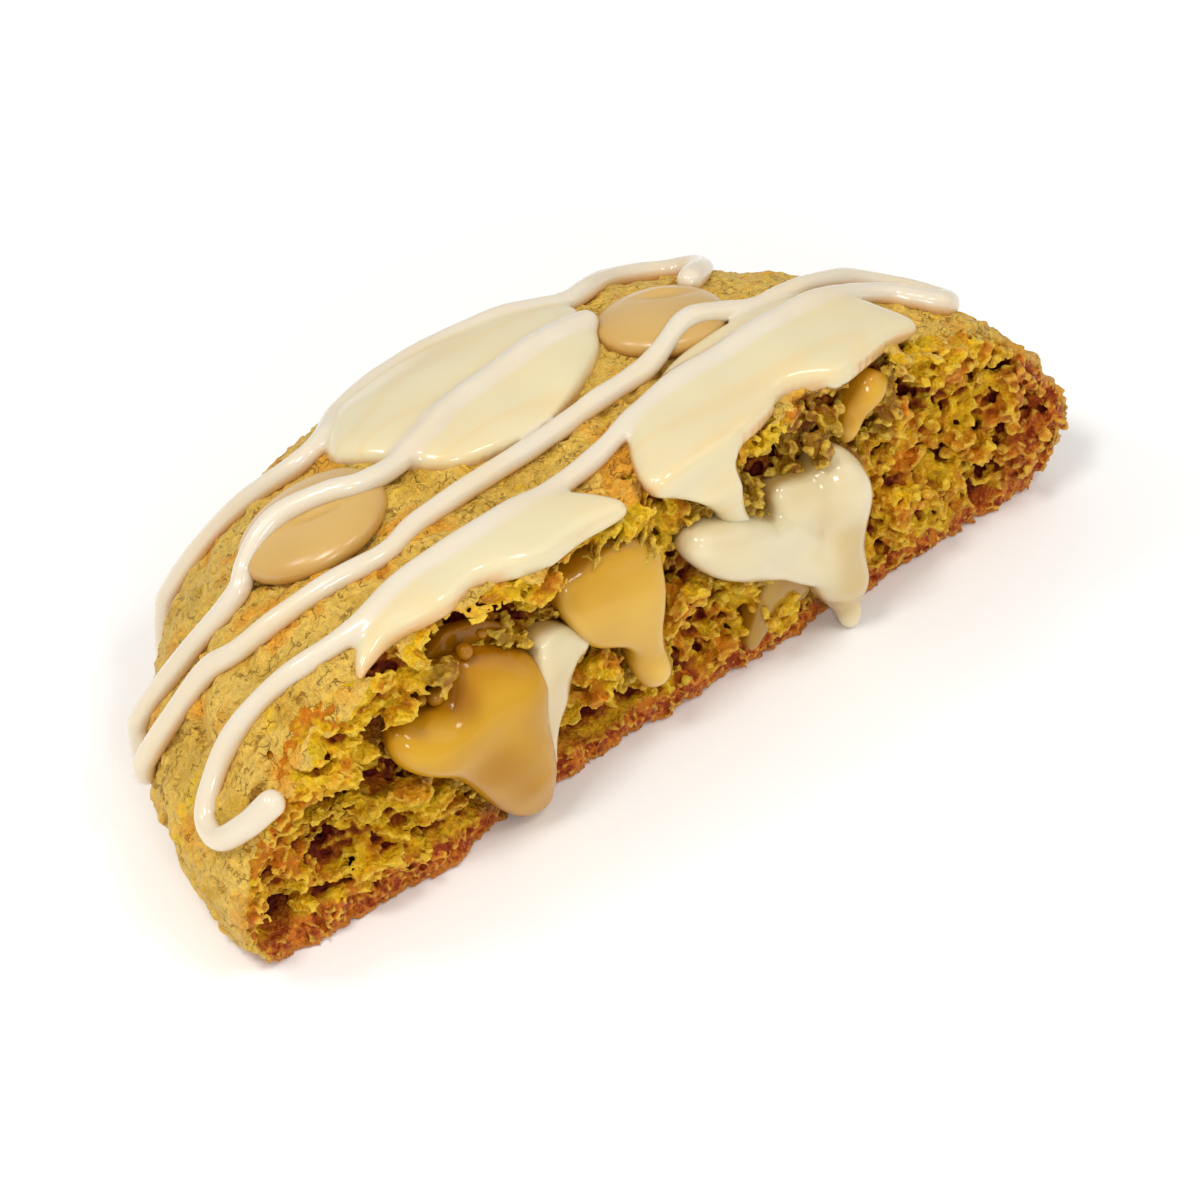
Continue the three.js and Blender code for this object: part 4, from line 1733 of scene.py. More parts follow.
@dataclass
class Icing:
    """The white drizzle and its pools, melted into one another."""

    form: CookieForm
    tear: TearForm
    discs: tuple[DiscSeat, ...]
    pools: tuple[Patch, ...]
    drapes: tuple[Patch, ...]
    routes: tuple[Outline, ...]
    bead_radius: float = 1.07
    bead_lift: float = 0.74
    bead_step: float = 0.4
    bead_waver: float = 0.16
    bead_waver_size: float = 4.5
    bead_in_bends: float = 0.28
    bead_at_ends: float = 0.14
    sunk_in_pool: float = 1.1
    sag_reach: float = 3.2
    pool_blend: float = 0.8
    drape_blend: float = 1.8
    bead_blend: float = 0.9
    clear_height: float = 1.4
    grid: Grid = Grid((-54.0, -5.4, 5.0), (44.0, 42.0, 34.5), 0.28)
    most_triangles: int = 150_000

    def build(self, effects: Effects) -> None:
        """Makes and dresses the icing.

        Args:
            effects: The effects that the finishes share.
        """
        x, y, z = self.grid.axes()
        above = self.form.above(x, y, z)
        spread = np.full(self.grid.shape, FAR, np.float32)
        for patch in self.pools:
            pool = patch.field(x, y, above, self.grid.cell)
            spread = melt(spread, pool, self.pool_blend)
        for patch in self.drapes:
            drape = patch.field(x, z, self.tear.smooth(x, z) - y, self.grid.cell)
            spread = melt(spread, drape, self.drape_blend).astype(np.float32)
        beads = np.full(self.grid.shape, FAR, np.float32)
        for route in self.routes:
            self._lay_bead(beads, route)
        icing = melt(spread, beads, self.bead_blend)
        points, faces = self.grid.surface(icing)
        points, faces = thinned(points, faces, min(1.0, self.most_triangles / (2 * len(faces))))
        piece = MeshPiece("white_icing", points, faces)
        # Painted shade: a warm yellow goes into the grooves where beads cross pools, and into other
        # hollows.
        wide = self.grid.sample(blurred(self.grid.filled(icing), 4), points)
        piece.masks[Mask.PAINTED_SHADE] = np.clip((wide - 0.5) * 2, 0, 1)
        px, py, pz = points.T.astype(np.float32)
        clear = np.maximum(self.form.outside(px, py, pz), self.tear.smooth(px, pz) - py)
        # Near the crust the icing takes its thin colour: painted shade at the contact, and the crust
        # showing through its thin edge.
        piece.masks[Mask.LIFT] = np.clip(clear / self.clear_height, 0, 1)
        # In the icing this only tells the creamier pools from the beads.
        piece.masks[Mask.SPREAD_AND_PAINTED_LIGHT] = ramp(self.grid.sample(beads - spread, points), -0.1, 0.7)
        finish = SweetFinish(
            effects, "white_icing", body=(224, 213, 192), deep=(228, 196, 130), thin=(220, 174, 114),
            spread=(225, 212, 172), roughness=(0.3, 0.36), coat=0.8, marble=0.25, gloss=0.07,
            streak=0.32,
        )
        nodes = ["white_drizzle_back", "white_drizzle_front"]
        nodes += ["white_pool_back", "white_pool_right", "white_pool_front"]
        install(piece.to_object(), finish.material(), nodes)

    def _under(self, x: Array, y: Array) -> Array:
        """How far the toppings lift a bead off the bare crust.

        Args:
            x, y: The places along the bead.

        Returns:
            The lift at each.
        """
        rises = [np.maximum(0, pool.rise_at(x, y) - self.sunk_in_pool) for pool in self.pools]
        for disc in self.discs:
            away = np.minimum(1, np.hypot(x - disc.x, y - disc.y) / disc.radius)
            rises.append(disc.half_thickness * np.sqrt(1 - away * away))
        return np.max(rises, axis=0)

    def _lay_bead(self, beads: Array, route: Outline) -> None:
        """Adds one run of the bead to a field.

        Args:
            beads: The field, which is changed.
            route: The run's route, seen from above.
        """
        line = smooth_line(route, False, 12)
        steps = np.hypot(*np.diff(line, axis=0).T)
        gone = np.concatenate([[0], np.cumsum(steps)])
        even = np.linspace(0, gone[-1], int(gone[-1] / self.bead_step) + 1)
        x, y = (np.interp(even, gone, line[:, k]) for k in range(2))
        under = averaged(self._under(x, y), int(self.sag_reach / self.bead_step))
        path = self.form.on_crust(x, y, self.bead_lift + under)
        heading = np.unwrap(np.arctan2(np.gradient(y), np.gradient(x)))
        bend = averaged(np.abs(np.gradient(heading)) / self.bead_step, 4)
        ends = bump(even, 0, 2.2) + 1.6 * bump(even, even[-1], 4.0)
        flat = np.zeros(1, np.float32)
        waver = self.bead_waver * lumps(even, flat, flat, self.bead_waver_size, 91)
        radii = self.bead_radius + waver
        radii = radii + self.bead_in_bends * ramp(bend, 0.2, 0.6) + self.bead_at_ends * ends
        for start, end, r0, r1 in zip(path[:-1], path[1:], radii[:-1], radii[1:]):
            self._stamp(beads, start, end, r0, r1)

    def _stamp(self, beads: Array, start: Array, end: Array, r0: float, r1: float) -> None:
        """Adds one short stretch of bead to a field.

        Args:
            beads: The field, which is changed.
            start, end: The stretch's ends.
            r0, r1: The bead's radius at each.
        """
        cell, low = self.grid.cell, np.array(self.grid.low)
        room = max(r0, r1) + 1.3
        first = np.maximum(((np.minimum(start, end) - room - low) / cell).astype(int), 0)
        last = ((np.maximum(start, end) + room - low) / cell).astype(int) + 1
        box = tuple(slice(a, b) for a, b in zip(first, last))
        block = beads[box]
        if 0 in block.shape:
            return
        axes = [low[k] + cell * np.arange(first[k], first[k] + block.shape[k]) for k in range(3)]
        px, py, pz = np.ix_(*axes)
        span = end - start
        along = (px - start[0]) * span[0] + (py - start[1]) * span[1] + (pz - start[2]) * span[2]
        along = np.clip(along / max(span @ span, 1e-9), 0, 1)
        away = (px - start[0] - along * span[0]) ** 2 + (py - start[1] - along * span[1]) ** 2
        away = np.sqrt(away + (pz - start[2] - along * span[2]) ** 2)
        beads[box] = np.minimum(block, away - (r0 + along * (r1 - r0)))


@dataclass
class Disc:
    """A soft caramel disc, crowned and rounded, with a faint crease."""

    form: CookieForm
    seat: DiscSeat
    name: str
    node: str
    rings: int = 64
    spokes: int = 96
    rim_power: float = 0.86
    crown_power: float = 0.9
    wobbles: Place = (0.025, 0.012)
    crease: float = 0.16
    crease_size: Place = (0.3, 0.09)
    dip_size: Place = (0.34, 0.13)
    crease_along: float = 0.1
    dip_along: float = 0.15
    dip_beside: float = 0.15
    clear_height: float = 1.2

    def build(self, material: bpy.types.Material) -> None:
        """Makes and dresses the disc.

        Args:
            material: Its finish.
        """
        seat = self.seat
        u, v, up = self._shape()
        places = np.stack([u * seat.radius, v * seat.radius, up * seat.half_thickness], -1)
        x, y = np.array([seat.x]), np.array([seat.y])
        foot = self.form.on_crust(x, y, np.array([seat.lift]))[0]
        normal = Vector(self.form.on_crust(x, y, np.array([1.0 + seat.lift]))[0] - foot)
        normal += Vector((*seat.lean, 0))
        tilt = np.array(Vector((0, 0, 1)).rotation_difference(normal).to_matrix())
        points = places.reshape(-1, 3) @ tilt.T + foot
        ring, side = np.meshgrid(np.arange(self.rings - 1), np.arange(self.spokes), indexing="ij")
        following = (side + 1) % self.spokes
        a, b = ring * self.spokes + side, ring * self.spokes + following
        faces = np.stack([a, a + self.spokes, b + self.spokes, b], -1).reshape(-1, 4)
        piece = MeshPiece(self.name, points, faces)
        clear = self.form.outside(*points.T.astype(np.float32))
        # Painted shade where the disc meets the crust.
        piece.masks[Mask.LIFT] = np.clip(clear / self.clear_height, 0, 1)
        piece.masks[Mask.PAINTED_SHADE] = np.zeros(len(points))
        # Painted light on the disc's top and painted shade down its sides.
        piece.masks[Mask.SPREAD_AND_PAINTED_LIGHT] = np.ravel(0.5 + 0.5 * up)
        install(piece.to_object(), material, [self.node])

    def _shape(self) -> tuple[Array, Array, Array]:
        """The disc's form, ring by ring from the top, with its radius and half height as 1.

        Returns:
            Two places across the disc and the height, for each ring and spoke.
        """
        turn = np.linspace(0, np.pi, self.rings)[:, None]
        spoke = np.linspace(0, 2 * np.pi, self.spokes, endpoint=False)[None, :]
        wide, narrow = self.wobbles
        round_share = 1 + wide * np.sin(2 * spoke + 1) + narrow * np.sin(3 * spoke)
        reach = np.sin(turn) ** self.rim_power * round_share
        level = np.cos(turn)
        up = np.sign(level) * np.abs(level) ** self.crown_power * np.ones_like(spoke)
        u, v = reach * np.cos(spoke), reach * np.sin(spoke)
        c, s = math.cos(self.seat.crease_turn), math.sin(self.seat.crease_turn)
        along, across = u * c + v * s, v * c - u * s
        at = self.seat.crease_at
        crease = self.crease * bump(across, at, self.crease_size[1])
        crease = crease * bump(along, self.crease_along, self.crease_size[0])
        dip = self.crease * bump(across, at - self.dip_beside, self.dip_size[1])
        dip = dip * bump(along, self.dip_along, self.dip_size[0])
        return u, v, up + np.where(up > 0, crease - dip, 0)


@dataclass
class Flow:
    """A filling that wells out of the torn face and runs down it."""

    tear: TearForm
    name: str
    node: str | None
    slot: Slot
    patches: tuple[Patch, ...]
    blend: float = 1.4
    blobs: tuple[Round, ...] = ()
    blob_blend: float = 0.3
    # Painted shade: streaks that darken the flow towards its deep colour.
    painted_shades: tuple[Streak, ...] = ()
    margin: float = 2.0
    foremost: float = -7.5
    inmost: float = 5.0
    floor_gap: float = 0.02
    floor_rounding: float = 0.3
    clear_height: float = 1.6
    cell: float = 0.25

    def build(self, material: bpy.types.Material) -> None:
        """Makes and dresses the flow.

        Args:
            material: Its finish.
        """
        ring = np.vstack([np.array(p.outline) for p in self.patches])
        (x0, z0), (x1, z1) = ring.min(axis=0) - self.margin, ring.max(axis=0) + self.margin
        low, high = (float(x0), self.foremost, float(z0)), (float(x1), self.inmost, float(z1))
        grid = Grid(low, high, self.cell)
        x, y, z = grid.axes()
        out = self.tear.smooth(x, z) - y
        flow = np.full(grid.shape, FAR, np.float32)
        for patch in self.patches:
            flow = melt(flow, patch.field(x, z, out, grid.cell), self.blend)
        for bx, bz, proud, radius in self.blobs:
            blob = np.sqrt((x - bx) ** 2 + (z - bz) ** 2 + (out - proud) ** 2) - radius
            flow = melt(flow, blob, self.blob_blend)
        flow = carve(flow, -z - self.floor_gap + 0 * flow, self.floor_rounding)
        points, faces = grid.surface(flow.astype(np.float32))
        piece = MeshPiece(self.name, points, faces)
        # Painted shade: the flow's hollows and the given streaks take the deep colour.
        wide = grid.sample(blurred(grid.filled(flow), 5), points)
        painted_shade = np.clip((wide - 0.5) * 2, 0, 1)
        for start, end, radius, share in self.painted_shades:
            away = off_line(points[:, 0], points[:, 2], start, end)
            painted_shade = np.maximum(painted_shade, share * bump(away, 0, radius))
        piece.masks[Mask.PAINTED_SHADE] = painted_shade
        proud = self.tear.smooth(points[:, 0], points[:, 2]) - points[:, 1]
        # Painted shade near the torn face, where the flow's edges meet it.
        piece.masks[Mask.LIFT] = np.clip(proud / self.clear_height, 0, 1)
        # Painted light: the flow is lighter where it stands far out and along its convex rims.
        convex_light = np.clip((0.4 - wide) * 4, 0, 1)
        piece.masks[Mask.SPREAD_AND_PAINTED_LIGHT] = np.clip(0.55 * ramp(proud, 1.0, 3.4) + 0.75 * convex_light, 0, 1)
        install(piece.to_object(), material, [self.node] if self.node else [])


# ---- Studio ----


@dataclass(frozen=True)
class Lamp:
    """A square, soft light that looks at the cookie. Its lengths are in millimetres."""

    name: str
    azimuth: float
    elevation: float
    distance: float
    side: float
    watts: float


@dataclass(frozen=True)
class Studio:
    """The pale floor, the soft lights and the camera. Places are in millimetres."""

    target: Triple = (0.0, -3.4, 12.0)
    azimuth: float = -38.58
    elevation: float = 40.16
    roll: float = -3.43
    distance: float = 450.0
    aim_right: float = 5.0
    aim_down: float = 6.5
    lens: float = 142.4
    floor_half: float = 3000.0
    sky: float = 0.56
    warm: Triple = (1.0, 0.98, 0.95)
    lamps: tuple[Lamp, ...] = (
        Lamp("key", -74, 62, 620, 130, 1.25),
        Lamp("front", -27, 30, 620, 95, 0.6),
        Lamp("spark", 8, 58, 620, 110, 0.45),
        Lamp("side", -122, 48, 620, 95, 0.5),
        Lamp("fill", 50, 38, 700, 420, 0.4),
    )

    def build(self) -> None:
        """Makes everything round the cookie."""
        scene = bpy.context.scene
        scene.view_settings.view_transform = "Standard"
        world = bpy.data.worlds.new("studio")
        world.use_nodes = True
        background = world.node_tree.nodes["Background"]
        background.inputs["Color"].default_value = (1.0, 1.0, 1.0, 1.0)
        background.inputs["Strength"].default_value = self.sky
        scene.world = world
        self._floor()
        for lamp in self.lamps:
            self._light(lamp)
        scene.camera = self._camera()

    def _floor(self) -> None:
        """A pale, matt floor."""
        half = self.floor_half * MM
        mesh = bpy.data.meshes.new("floor")
        corners = [(-half, -half, 0), (half, -half, 0), (half, half, 0), (-half, half, 0)]
        mesh.from_pydata(corners, [], [(0, 1, 2, 3)])
        floor = bpy.data.objects.new("floor", mesh)
        bpy.context.scene.collection.objects.link(floor)
        material = bpy.data.materials.new("pale_floor")
        material.use_nodes = True
        shader = material.node_tree.nodes["Principled BSDF"]
        shader.inputs["Base Color"].default_value = (1.0, 1.0, 1.0, 1)
        shader.inputs["Roughness"].default_value = 0.9
        mesh.materials.append(material)

    def _light(self, lamp: Lamp) -> None:
        """Adds one of the lights.

        Args:
            lamp: Where it stands, and its size and power.
        """
        data = bpy.data.lights.new(lamp.name, "AREA")
        data.size, data.energy, data.color = lamp.side * MM, lamp.watts, self.warm
        light = bpy.data.objects.new(lamp.name, data)
        towards = self._direction(lamp.azimuth, lamp.elevation)
        light.location = (Vector(self.target) + towards * lamp.distance) * MM
        light.rotation_euler = towards.to_track_quat("Z", "Y").to_euler()
        bpy.context.scene.collection.objects.link(light)

    @staticmethod
    def _direction(azimuth: float, elevation: float) -> Vector:
        """The unit vector towards an azimuth and elevation, in degrees."""
        a, e = math.radians(azimuth), math.radians(elevation)
        return Vector((math.sin(a) * math.cos(e), -math.cos(a) * math.cos(e), math.sin(e)))

    def _camera(self) -> bpy.types.Object:
        """Makes the camera, turned so that the cookie lies a little left of and above its middle.

        Returns:
            The camera.
        """
        back = self._direction(self.azimuth, self.elevation)
        a = math.radians(self.azimuth)
        right = Vector((math.cos(a), math.sin(a), 0))
        up = back.cross(right)
        r = math.radians(self.roll)
        right, up = right * math.cos(r) + up * math.sin(r), up * math.cos(r) - right * math.sin(r)
        eye = Vector(self.target) + back * self.distance
        aim = Vector(self.target) + right * self.aim_right - up * self.aim_down
        away = (eye - aim).normalized()
        side = up.cross(away).normalized()
        data = bpy.data.cameras.new("camera")
        data.lens, data.sensor_width = self.lens, 36
        data.clip_start, data.clip_end = 0.01, 20
        camera = bpy.data.objects.new("camera", data)
        turned = Matrix((side, away.cross(side), away)).transposed().to_4x4()
        camera.matrix_world = Matrix.Translation(eye * MM) @ turned
        bpy.context.scene.collection.objects.link(camera)
        return camera


# ---- Sizes of this cookie's own pieces ----

POOL_BACK: Outline = (
    (-15.9, 29.8), (-19, 25), (-17, 19.4), (-12.9, 14.4), (-5.6, 12.8), (1.1, 14.2),
    (7.7, 18.1), (10.2, 23), (9.8, 27.4), (5, 30.6), (-3, 33), (-10.5, 32.8),
)
POOL_RIGHT: Outline = (
    (-2, -0.6), (-0.4, 5), (4.8, 8.9), (13.2, 12), (23, 12.1), (29.6, 10), (32.2, 5.6), (33, 1.8),
    (28.6, 1), (24, -0.2), (20.6, -0.8), (17.8, 0.6), (15.4, 1.4), (13, 0.4), (8.8, -0.8), (3, -1.4),
)
POOL_FRONT: Outline = (
    (-5.2, -0.4), (-9, 4.8), (-15.6, 7.1), (-24.3, 6.7), (-31, 5.6), (-33.6, 3.8), (-36, 0.6),
    (-34, 0.9), (-31, 1.2), (-26, 0), (-22, 0.6), (-16.5, -1.4), (-11, -0.8),
)
NECK: Outline = (
    (-2.5, 29.8), (-0.7, 28.1), (2.3, 25.8), (4.4, 23.4), (5.2, 21.8), (5.3, 20.1), (6.6, 18.3),
    (8.6, 17.8), (9.9, 18.4), (8.8, 20.1), (8, 21.8), (7.4, 24.5), (6.9, 27.4), (7.3, 29.8),
    (3, 30.4),
)
CARAMEL_LEFT: Outline = (
    (-24.7, 23), (-26.2, 22.2), (-27.2, 20.6), (-28.7, 19.6), (-31.2, 20.2), (-33.3, 20.4),
    (-34.4, 19), (-34, 16.8), (-32.4, 14.8), (-30.2, 13.1), (-28, 11.3), (-26.3, 9.2), (-24.7, 6.6),
    (-22.7, 3.6), (-20.6, 1.2), (-18.4, 0.4), (-16.6, 1.2), (-16.1, 3.4), (-16.4, 6.3),
    (-16.8, 9.3), (-17, 11.9), (-17.1, 15.1), (-17.2, 17.8), (-18, 19.9), (-19.6, 21.4),
    (-21.6, 22.4),
)
WHITE_LEFT: Outline = (
    (-17.5, 21), (-18.6, 18.5), (-19, 15.6), (-18.7, 12.6), (-18.1, 9.3), (-17.3, 6.1),
    (-16.6, 5.9), (-16.8, 8.6), (-16.5, 10.3), (-15.7, 11.6), (-14.7, 12.4), (-14.2, 13.8),
    (-13.9, 15.4), (-13.1, 16.4), (-11.7, 16.4), (-11.1, 17.4), (-12.1, 19), (-13.9, 20.6),
    (-16.1, 21.3),
)
CARAMEL_MIDDLE: Outline = (
    (-8.6, 25.6), (-4.6, 25.4), (-2.2, 23.2), (-2.4, 21), (-3, 17.1), (-3.2, 14.8), (-2.4, 11.6),
    (-1.4, 8.6), (-2, 7.1), (-3.8, 7), (-5.3, 8.4), (-6.3, 11.2), (-6.5, 13), (-8, 14.7),
    (-10.6, 16), (-12.4, 18.4), (-13.8, 21.8), (-13.2, 24.4), (-11, 25),
)
CARAMEL_RIGHT: Outline = (
    (26.1, 27.2), (27.2, 26), (26.6, 24.8), (25.2, 24), (24, 22.8), (22.9, 21.6), (21.4, 21),
    (21.2, 22.6), (22, 24.4), (23.2, 26), (24.6, 27.2),
)
WHITE_ARM: Outline = (
    (0.3, 21.6), (0.7, 19.8), (3.1, 16.8), (6.2, 14.5), (9.3, 12.8), (12.5, 10.9), (15.4, 8.8),
    (18.4, 7), (19.6, 8.4), (18.4, 11.4), (15.4, 14.4), (12.6, 17.2), (9.6, 19.8), (6.9, 21.5),
    (5.1, 22.1), (3.4, 22.7), (1.5, 22.9),
)
WHITE_SHEET: Outline = (
    (11.8, 18.6), (12, 20.2), (13, 21.2), (14.8, 21), (16.6, 20.8), (19.1, 21), (20.6, 20),
    (21.6, 17.6), (21.8, 13.8), (21.8, 10.1), (22, 6), (22, 3.4), (21, 2.6), (19.6, 3),
    (17.6, 5.4), (15.5, 8.4), (12.6, 11.2), (10.9, 13.8), (10.2, 16.2),
)
WHITE_COLUMN: Outline = (
    (17.8, 21.4), (18.6, 22.2), (19.6, 22.3), (20.8, 21.6), (21.8, 20.2), (22.4, 18.4),
    (22.5, 16.6), (22.2, 14.4), (21.8, 11.7), (22, 8.8), (22.6, 5.6), (22.5, 3.4), (21.7, 1.5),
    (20.4, 1.5), (18.9, 3.4), (17.2, 5.9), (16.5, 8.4), (16.6, 11), (17, 14.2), (17.3, 18),
    (17.5, 20.2),
)
CREAM_SMEAR: Outline = (
    (10.4, 11), (13, 11.4), (16, 8.4), (16.8, 5.2), (14.6, 5.3), (12.2, 4.6), (10.6, 3.6),
    (9.6, 2.4), (8.8, 3.8), (9.2, 6.4),
)
WET_FILM: Outline = (
    (-25, 25.3), (-22.8, 24.8), (-21, 24.3), (-18.9, 22.6), (-15.9, 20), (-15.6, 18.3),
    (-17.5, 18.7), (-20.2, 20), (-22.5, 21.4), (-24.5, 22.2), (-27.4, 21.4), (-28.4, 22.4),
    (-26.7, 24.2),
)
DAMP_LEFT: Outline = (
    (-33.4, 18.4), (-31, 21), (-28, 24), (-25, 25.4), (-21, 24.8), (-17, 22.6), (-13, 20.6),
    (-10.4, 17.6), (-13, 14), (-24, 18),
)
DAMP_RIGHT: Outline = (
    (8.4, 20), (9.5, 24.8), (13, 27), (19, 28), (25, 28.4), (27.6, 25.6), (25.6, 20.8), (18, 18),
)
DRIZZLE_BACK: Outline = (
    (-36.8, 37.8), (-33.8, 36.9), (-30.6, 35.8), (-27.8, 34.2), (-24.2, 31.2), (-20.4, 28.3),
    (-17, 28.6), (-12.5, 31.2), (-3.5, 31.6), (4, 29.2), (9.6, 26.6), (13.5, 27.2),
    (18.5, 29.2), (23, 29), (26.2, 26.8), (25.4, 23.6), (22, 21.4),
)
DRIZZLE_FRONT: Outline = (
    (9, 21.6), (1.6, 21.2), (-7.9, 20.3), (-13.2, 18.8), (-20.3, 17.5), (-23.4, 18.7),
    (-27.7, 20.6), (-31.7, 20.3), (-34.2, 19.4), (-39.4, 21.3), (-43.6, 24.4), (-46.4, 23.4),
    (-47, 20.8), (-43.9, 18.2), (-40.2, 16.4), (-37.8, 13.9), (-30.4, 11.1), (-25, 9.8),
    (-19.7, 10.8), (-6.5, 11.5), (5.5, 12.2), (9.4, 12.6), (14.3, 14), (18.8, 13.4),
    (23.4, 12.5), (30.2, 12.8), (34.6, 13), (38, 11.4), (40.4, 8.8), (40.6, 6.2),
    (38.8, 5.2), (36.8, 6.8), (34.4, 8.6), (28.5, 9.1), (19, 8.4), (8.1, 8.1), (2.5, 7.5),
    (-4.7, 5.9), (-16.8, 4.6), (-26.9, 4.8), (-33.4, 4.6), (-40.9, 7.8), (-45.1, 8.4),
    (-48.4, 6.9), (-49.3, 3.9), (-47.9, 1.5), (-46.1, 0.2),
)
WET_BUBBLES = (
    (-28.2, 20.4, 0.2, 0.9), (-24.6, 23.6, 0.1, 0.8), (-26.4, 22.2, 0.1, 1.0),
    (-31.6, 20, 0.2, 0.8), (-22.6, 24.5, 0.0, 0.5), (-29.8, 21, 0.1, 0.6),
)
LEFT_SWELLS = ((-19, 3.6, 5.5, 0.6), (-30.4, 16.8, 7.5, 1.1))
MIDDLE_SWELLS = ((-3.8, 9.4, 2.8, 1),)
DRIP_SWELLS = ((25, 25, 3, 0.8), (22.4, 22, 2.4, 0.6))
ARM_SWELLS = ((4.0, 18.4, 8.0, 1.0),)
# Painted shade on the white column's middle and in the valley beside the arm.
WHITE_PAINTED_SHADES = (
    ((19.4, 13), (19.4, 4.6), 3.2, 0.38),
    ((15.4, 13), (16.6, 11.6), 1.7, 0.17),
    ((16.6, 11.6), (16.4, 17.6), 1.9, 0.17),
)
# Painted shade on the left caramel, and along the white crescent.
LEFT_PAINTED_SHADES = (((-24.6, 12), (-21.5, 6.5), 3.6, 0.2), ((-27, 20.6), (-27, 20.6), 2.4, 0.36))
CRESCENT_PAINTED_SHADES = (((-17.6, 8), (-17, 16), 5.0, 0.24),)
COLUMN_SWELLS = ((21.2, 5, 6, 1.0), (20.6, 18.5, 6, 0.8))
COLUMN_DROP = ((20.6, 1.9, 2.9, 0.95), (20.7, 0.9, 3.1, 0.8))


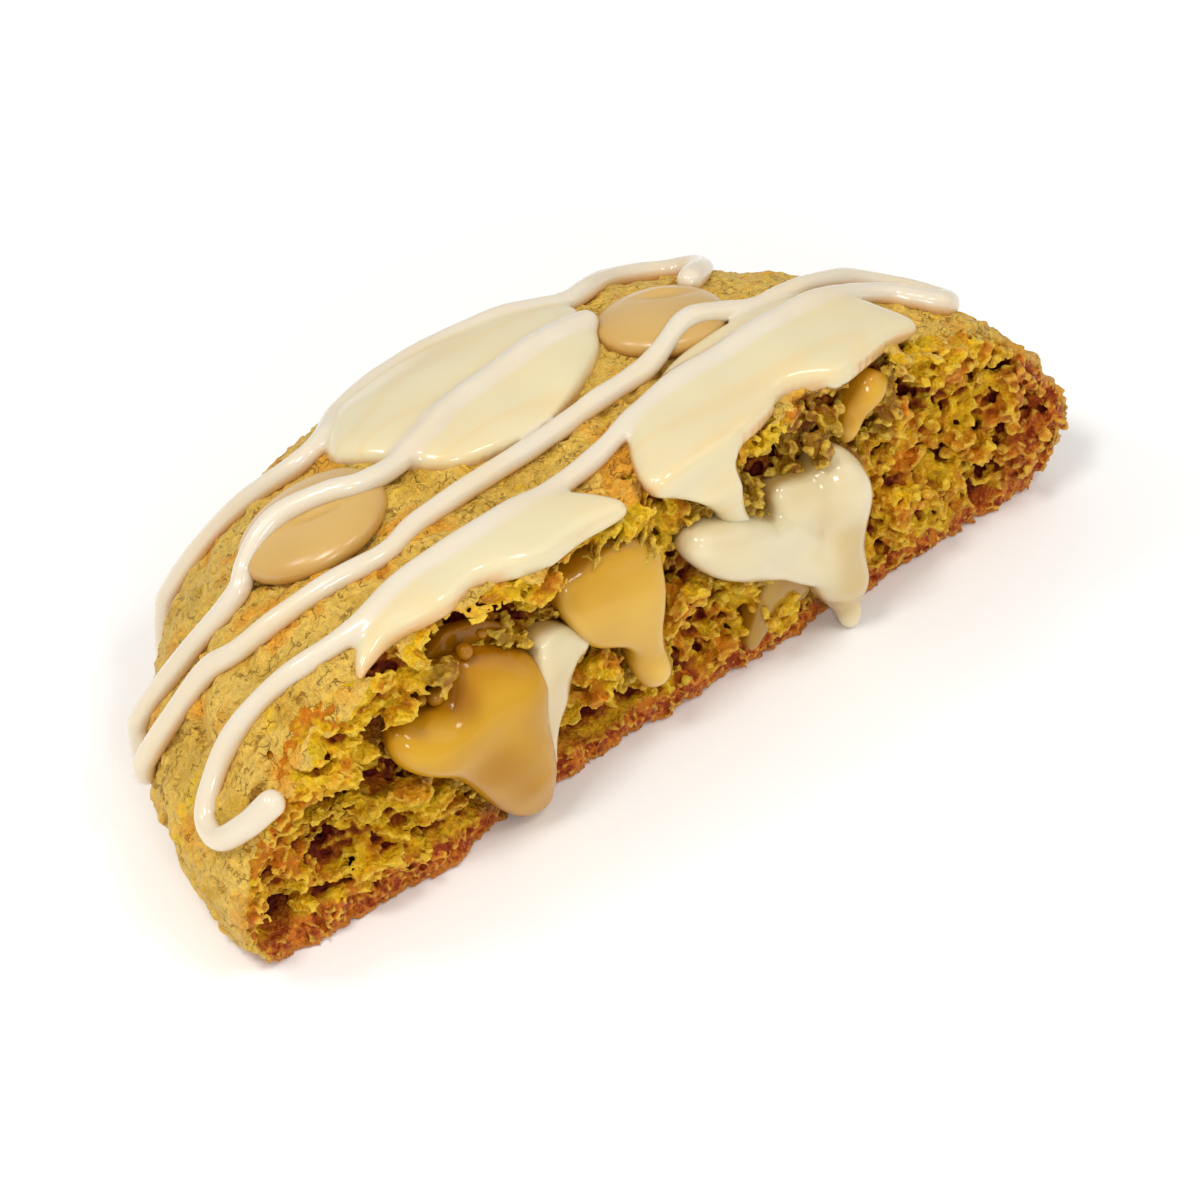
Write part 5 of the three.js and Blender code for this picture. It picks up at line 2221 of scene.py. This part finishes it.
def fillings(effects: Effects, tear: TearForm) -> None:
    """Builds what runs down the torn face.

    Args:
        effects: The effects that the finishes share.
        tear: The torn face.
    """
    # In the flows spread is painted light on proud parts and rims, and deep is also painted shade.
    caramel = SweetFinish(
        effects, "melted_caramel", body=(188, 132, 18), deep=(150, 88, 0), thin=(142, 84, 0),
        spread=(220, 174, 50), roughness=(0.12, 0.2), coat=0.3, scatter=0.35, depth=0.8,
        marble=0.35, shine=0.15,
    ).material()
    pale_caramel = SweetFinish(
        effects, "pale_caramel", body=(202, 153, 40), deep=(180, 122, 12), thin=(162, 104, 4),
        spread=(230, 191, 92), roughness=(0.12, 0.2), coat=0.45, scatter=0.4, depth=0.9,
        marble=0.3, shine=0.15,
    ).material()
    white = SweetFinish(
        effects, "melted_white", body=(217, 202, 158), deep=(204, 174, 108), thin=(196, 156, 74),
        spread=(230, 218, 186), roughness=(0.14, 0.24), coat=0.6, marble=0.25, shine=0.3,
    ).material()
    amber = SweetFinish(
        effects, "amber_glaze", body=(160, 108, 8), deep=(128, 80, 2), thin=(146, 92, 2),
        spread=(178, 126, 24), roughness=(0.12, 0.2), coat=0.15, depth=1.0, shine=0.2,
    ).material()
    honey = SweetFinish(
        effects, "honey_drip", body=(208, 158, 34), deep=(168, 108, 4), thin=(186, 128, 12),
        spread=(226, 186, 84), roughness=(0.08, 0.14), scatter=0.4, depth=1.0, shine=0.2,
    ).material()
    smear = SweetFinish(
        effects, "thin_cream", body=(172, 130, 40), deep=(152, 106, 18), thin=(152, 102, 12),
        spread=(194, 158, 74), roughness=(0.08, 0.16), coat=0.35, scatter=0.4, depth=0.8,
        shine=0.25,
    ).material()
    left = Patch(
        CARAMEL_LEFT, 3.0, 6, reach=4, lift=1.0, tuck=(17.0, 23.5, 2.2), swells=LEFT_SWELLS
    )
    crescent = Patch(
        WHITE_LEFT, 0.9, 3, reach=4, lift=2.4, slant=(-17.0, -0.16), tuck=(16.5, 22.0, 1.1)
    )
    middle = Patch(CARAMEL_MIDDLE, 1.8, 3, lift=1.0, tuck=(19.0, 26.0, 1.6), swells=MIDDLE_SWELLS)
    drip = Patch(CARAMEL_RIGHT, 0.6, 3, swells=DRIP_SWELLS)
    arm = Patch(WHITE_ARM, 2.1, 4, reach=4, lift=1.5, swells=ARM_SWELLS)
    sheet = Patch(WHITE_SHEET, 1.9, 5, reach=4, lift=0.9, tuck=(17.0, 23.0, 0.9))
    column = Patch(
        WHITE_COLUMN, 2.0, 4, reach=4, lift=1.4, tuck=(18.0, 24.0, 1.2), swells=COLUMN_SWELLS
    )
    thin = Patch(CREAM_SMEAR, 0.9, 2, lift=0.4)
    film = Patch(WET_FILM, 0.3, 2, reach=2, lift=-1.4)
    Flow(
        tear, "left_caramel", "caramel_flow_left", Slot.CARAMEL, (left,), painted_shades=LEFT_PAINTED_SHADES
    ).build(caramel)
    Flow(
        tear, "left_white", "white_flow_left", Slot.WHITE_FLOW, (crescent,), painted_shades=CRESCENT_PAINTED_SHADES
    ).build(white)
    Flow(tear, "middle_caramel", "caramel_flow_middle", Slot.CARAMEL, (middle,)).build(pale_caramel)
    Flow(tear, "right_caramel", "caramel_flow_right", Slot.CARAMEL, (drip,)).build(honey)
    Flow(
        tear, "right_white", "white_flow_right", Slot.WHITE_FLOW, (sheet, arm, column),
        blend=1.8, blobs=COLUMN_DROP, blob_blend=1.2, painted_shades=WHITE_PAINTED_SHADES,
    ).build(white)
    Flow(tear, "cream_smear", None, Slot.WHITE_FLOW, (thin,)).build(smear)
    Flow(tear, "wet_glaze", None, Slot.CARAMEL, (film,), blobs=WET_BUBBLES).build(amber)


def toppings(effects: Effects, form: CookieForm, tear: TearForm) -> None:
    """Builds the icing and the discs.

    Args:
        effects: The effects that the finishes share.
        form: The crust that they lie on.
        tear: The torn face that some icing runs down.
    """
    left = DiscSeat(-25.7, 19.5, 7.4, crease_at=-0.04, lean=(0.08, 0.1))
    right = DiscSeat(15.1, 17.9, 6.5)
    pools = tuple(Patch(o, 2.0, 4.0, reach=1.6) for o in (POOL_BACK, POOL_RIGHT, POOL_FRONT))
    neck = Patch(NECK, 1.3, 3, reach=3.4, lift=1.4, tuck=(25.5, 29.5, 1.6))
    routes = (DRIZZLE_BACK, DRIZZLE_FRONT)
    Icing(form, tear, (left, right), pools, (neck,), routes).build(effects)
    # On the discs spread is painted light on the top, body is painted shade on the sides, and thin is
    # painted shade at the crust.
    finish = SweetFinish(
        effects, "caramel_disc", body=(186, 138, 60), deep=(190, 138, 58), thin=(140, 84, 20),
        spread=(210, 172, 98), roughness=(0.3, 0.36), coat=0.6, scatter=0.3, depth=1.0,
        gloss=0.26,
    ).material()
    Disc(form, left, "left_disc", "caramel_disc_left").build(finish)
    Disc(form, right, "right_disc", "caramel_disc_right").build(finish)


def main() -> None:
    """Builds every piece in order."""
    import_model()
    effects = Effects()
    form, tear = CookieForm(), TearForm()
    wet = (NECK, CARAMEL_LEFT, WHITE_LEFT, CARAMEL_MIDDLE, CARAMEL_RIGHT)
    wet += (WHITE_ARM, WHITE_SHEET, WHITE_COLUMN)
    Dough(form, tear, wet, (DAMP_LEFT, DAMP_RIGHT)).build(effects)
    toppings(effects, form, tear)
    fillings(effects, tear)
    Studio().build()


if __name__ == "__main__":
    main()
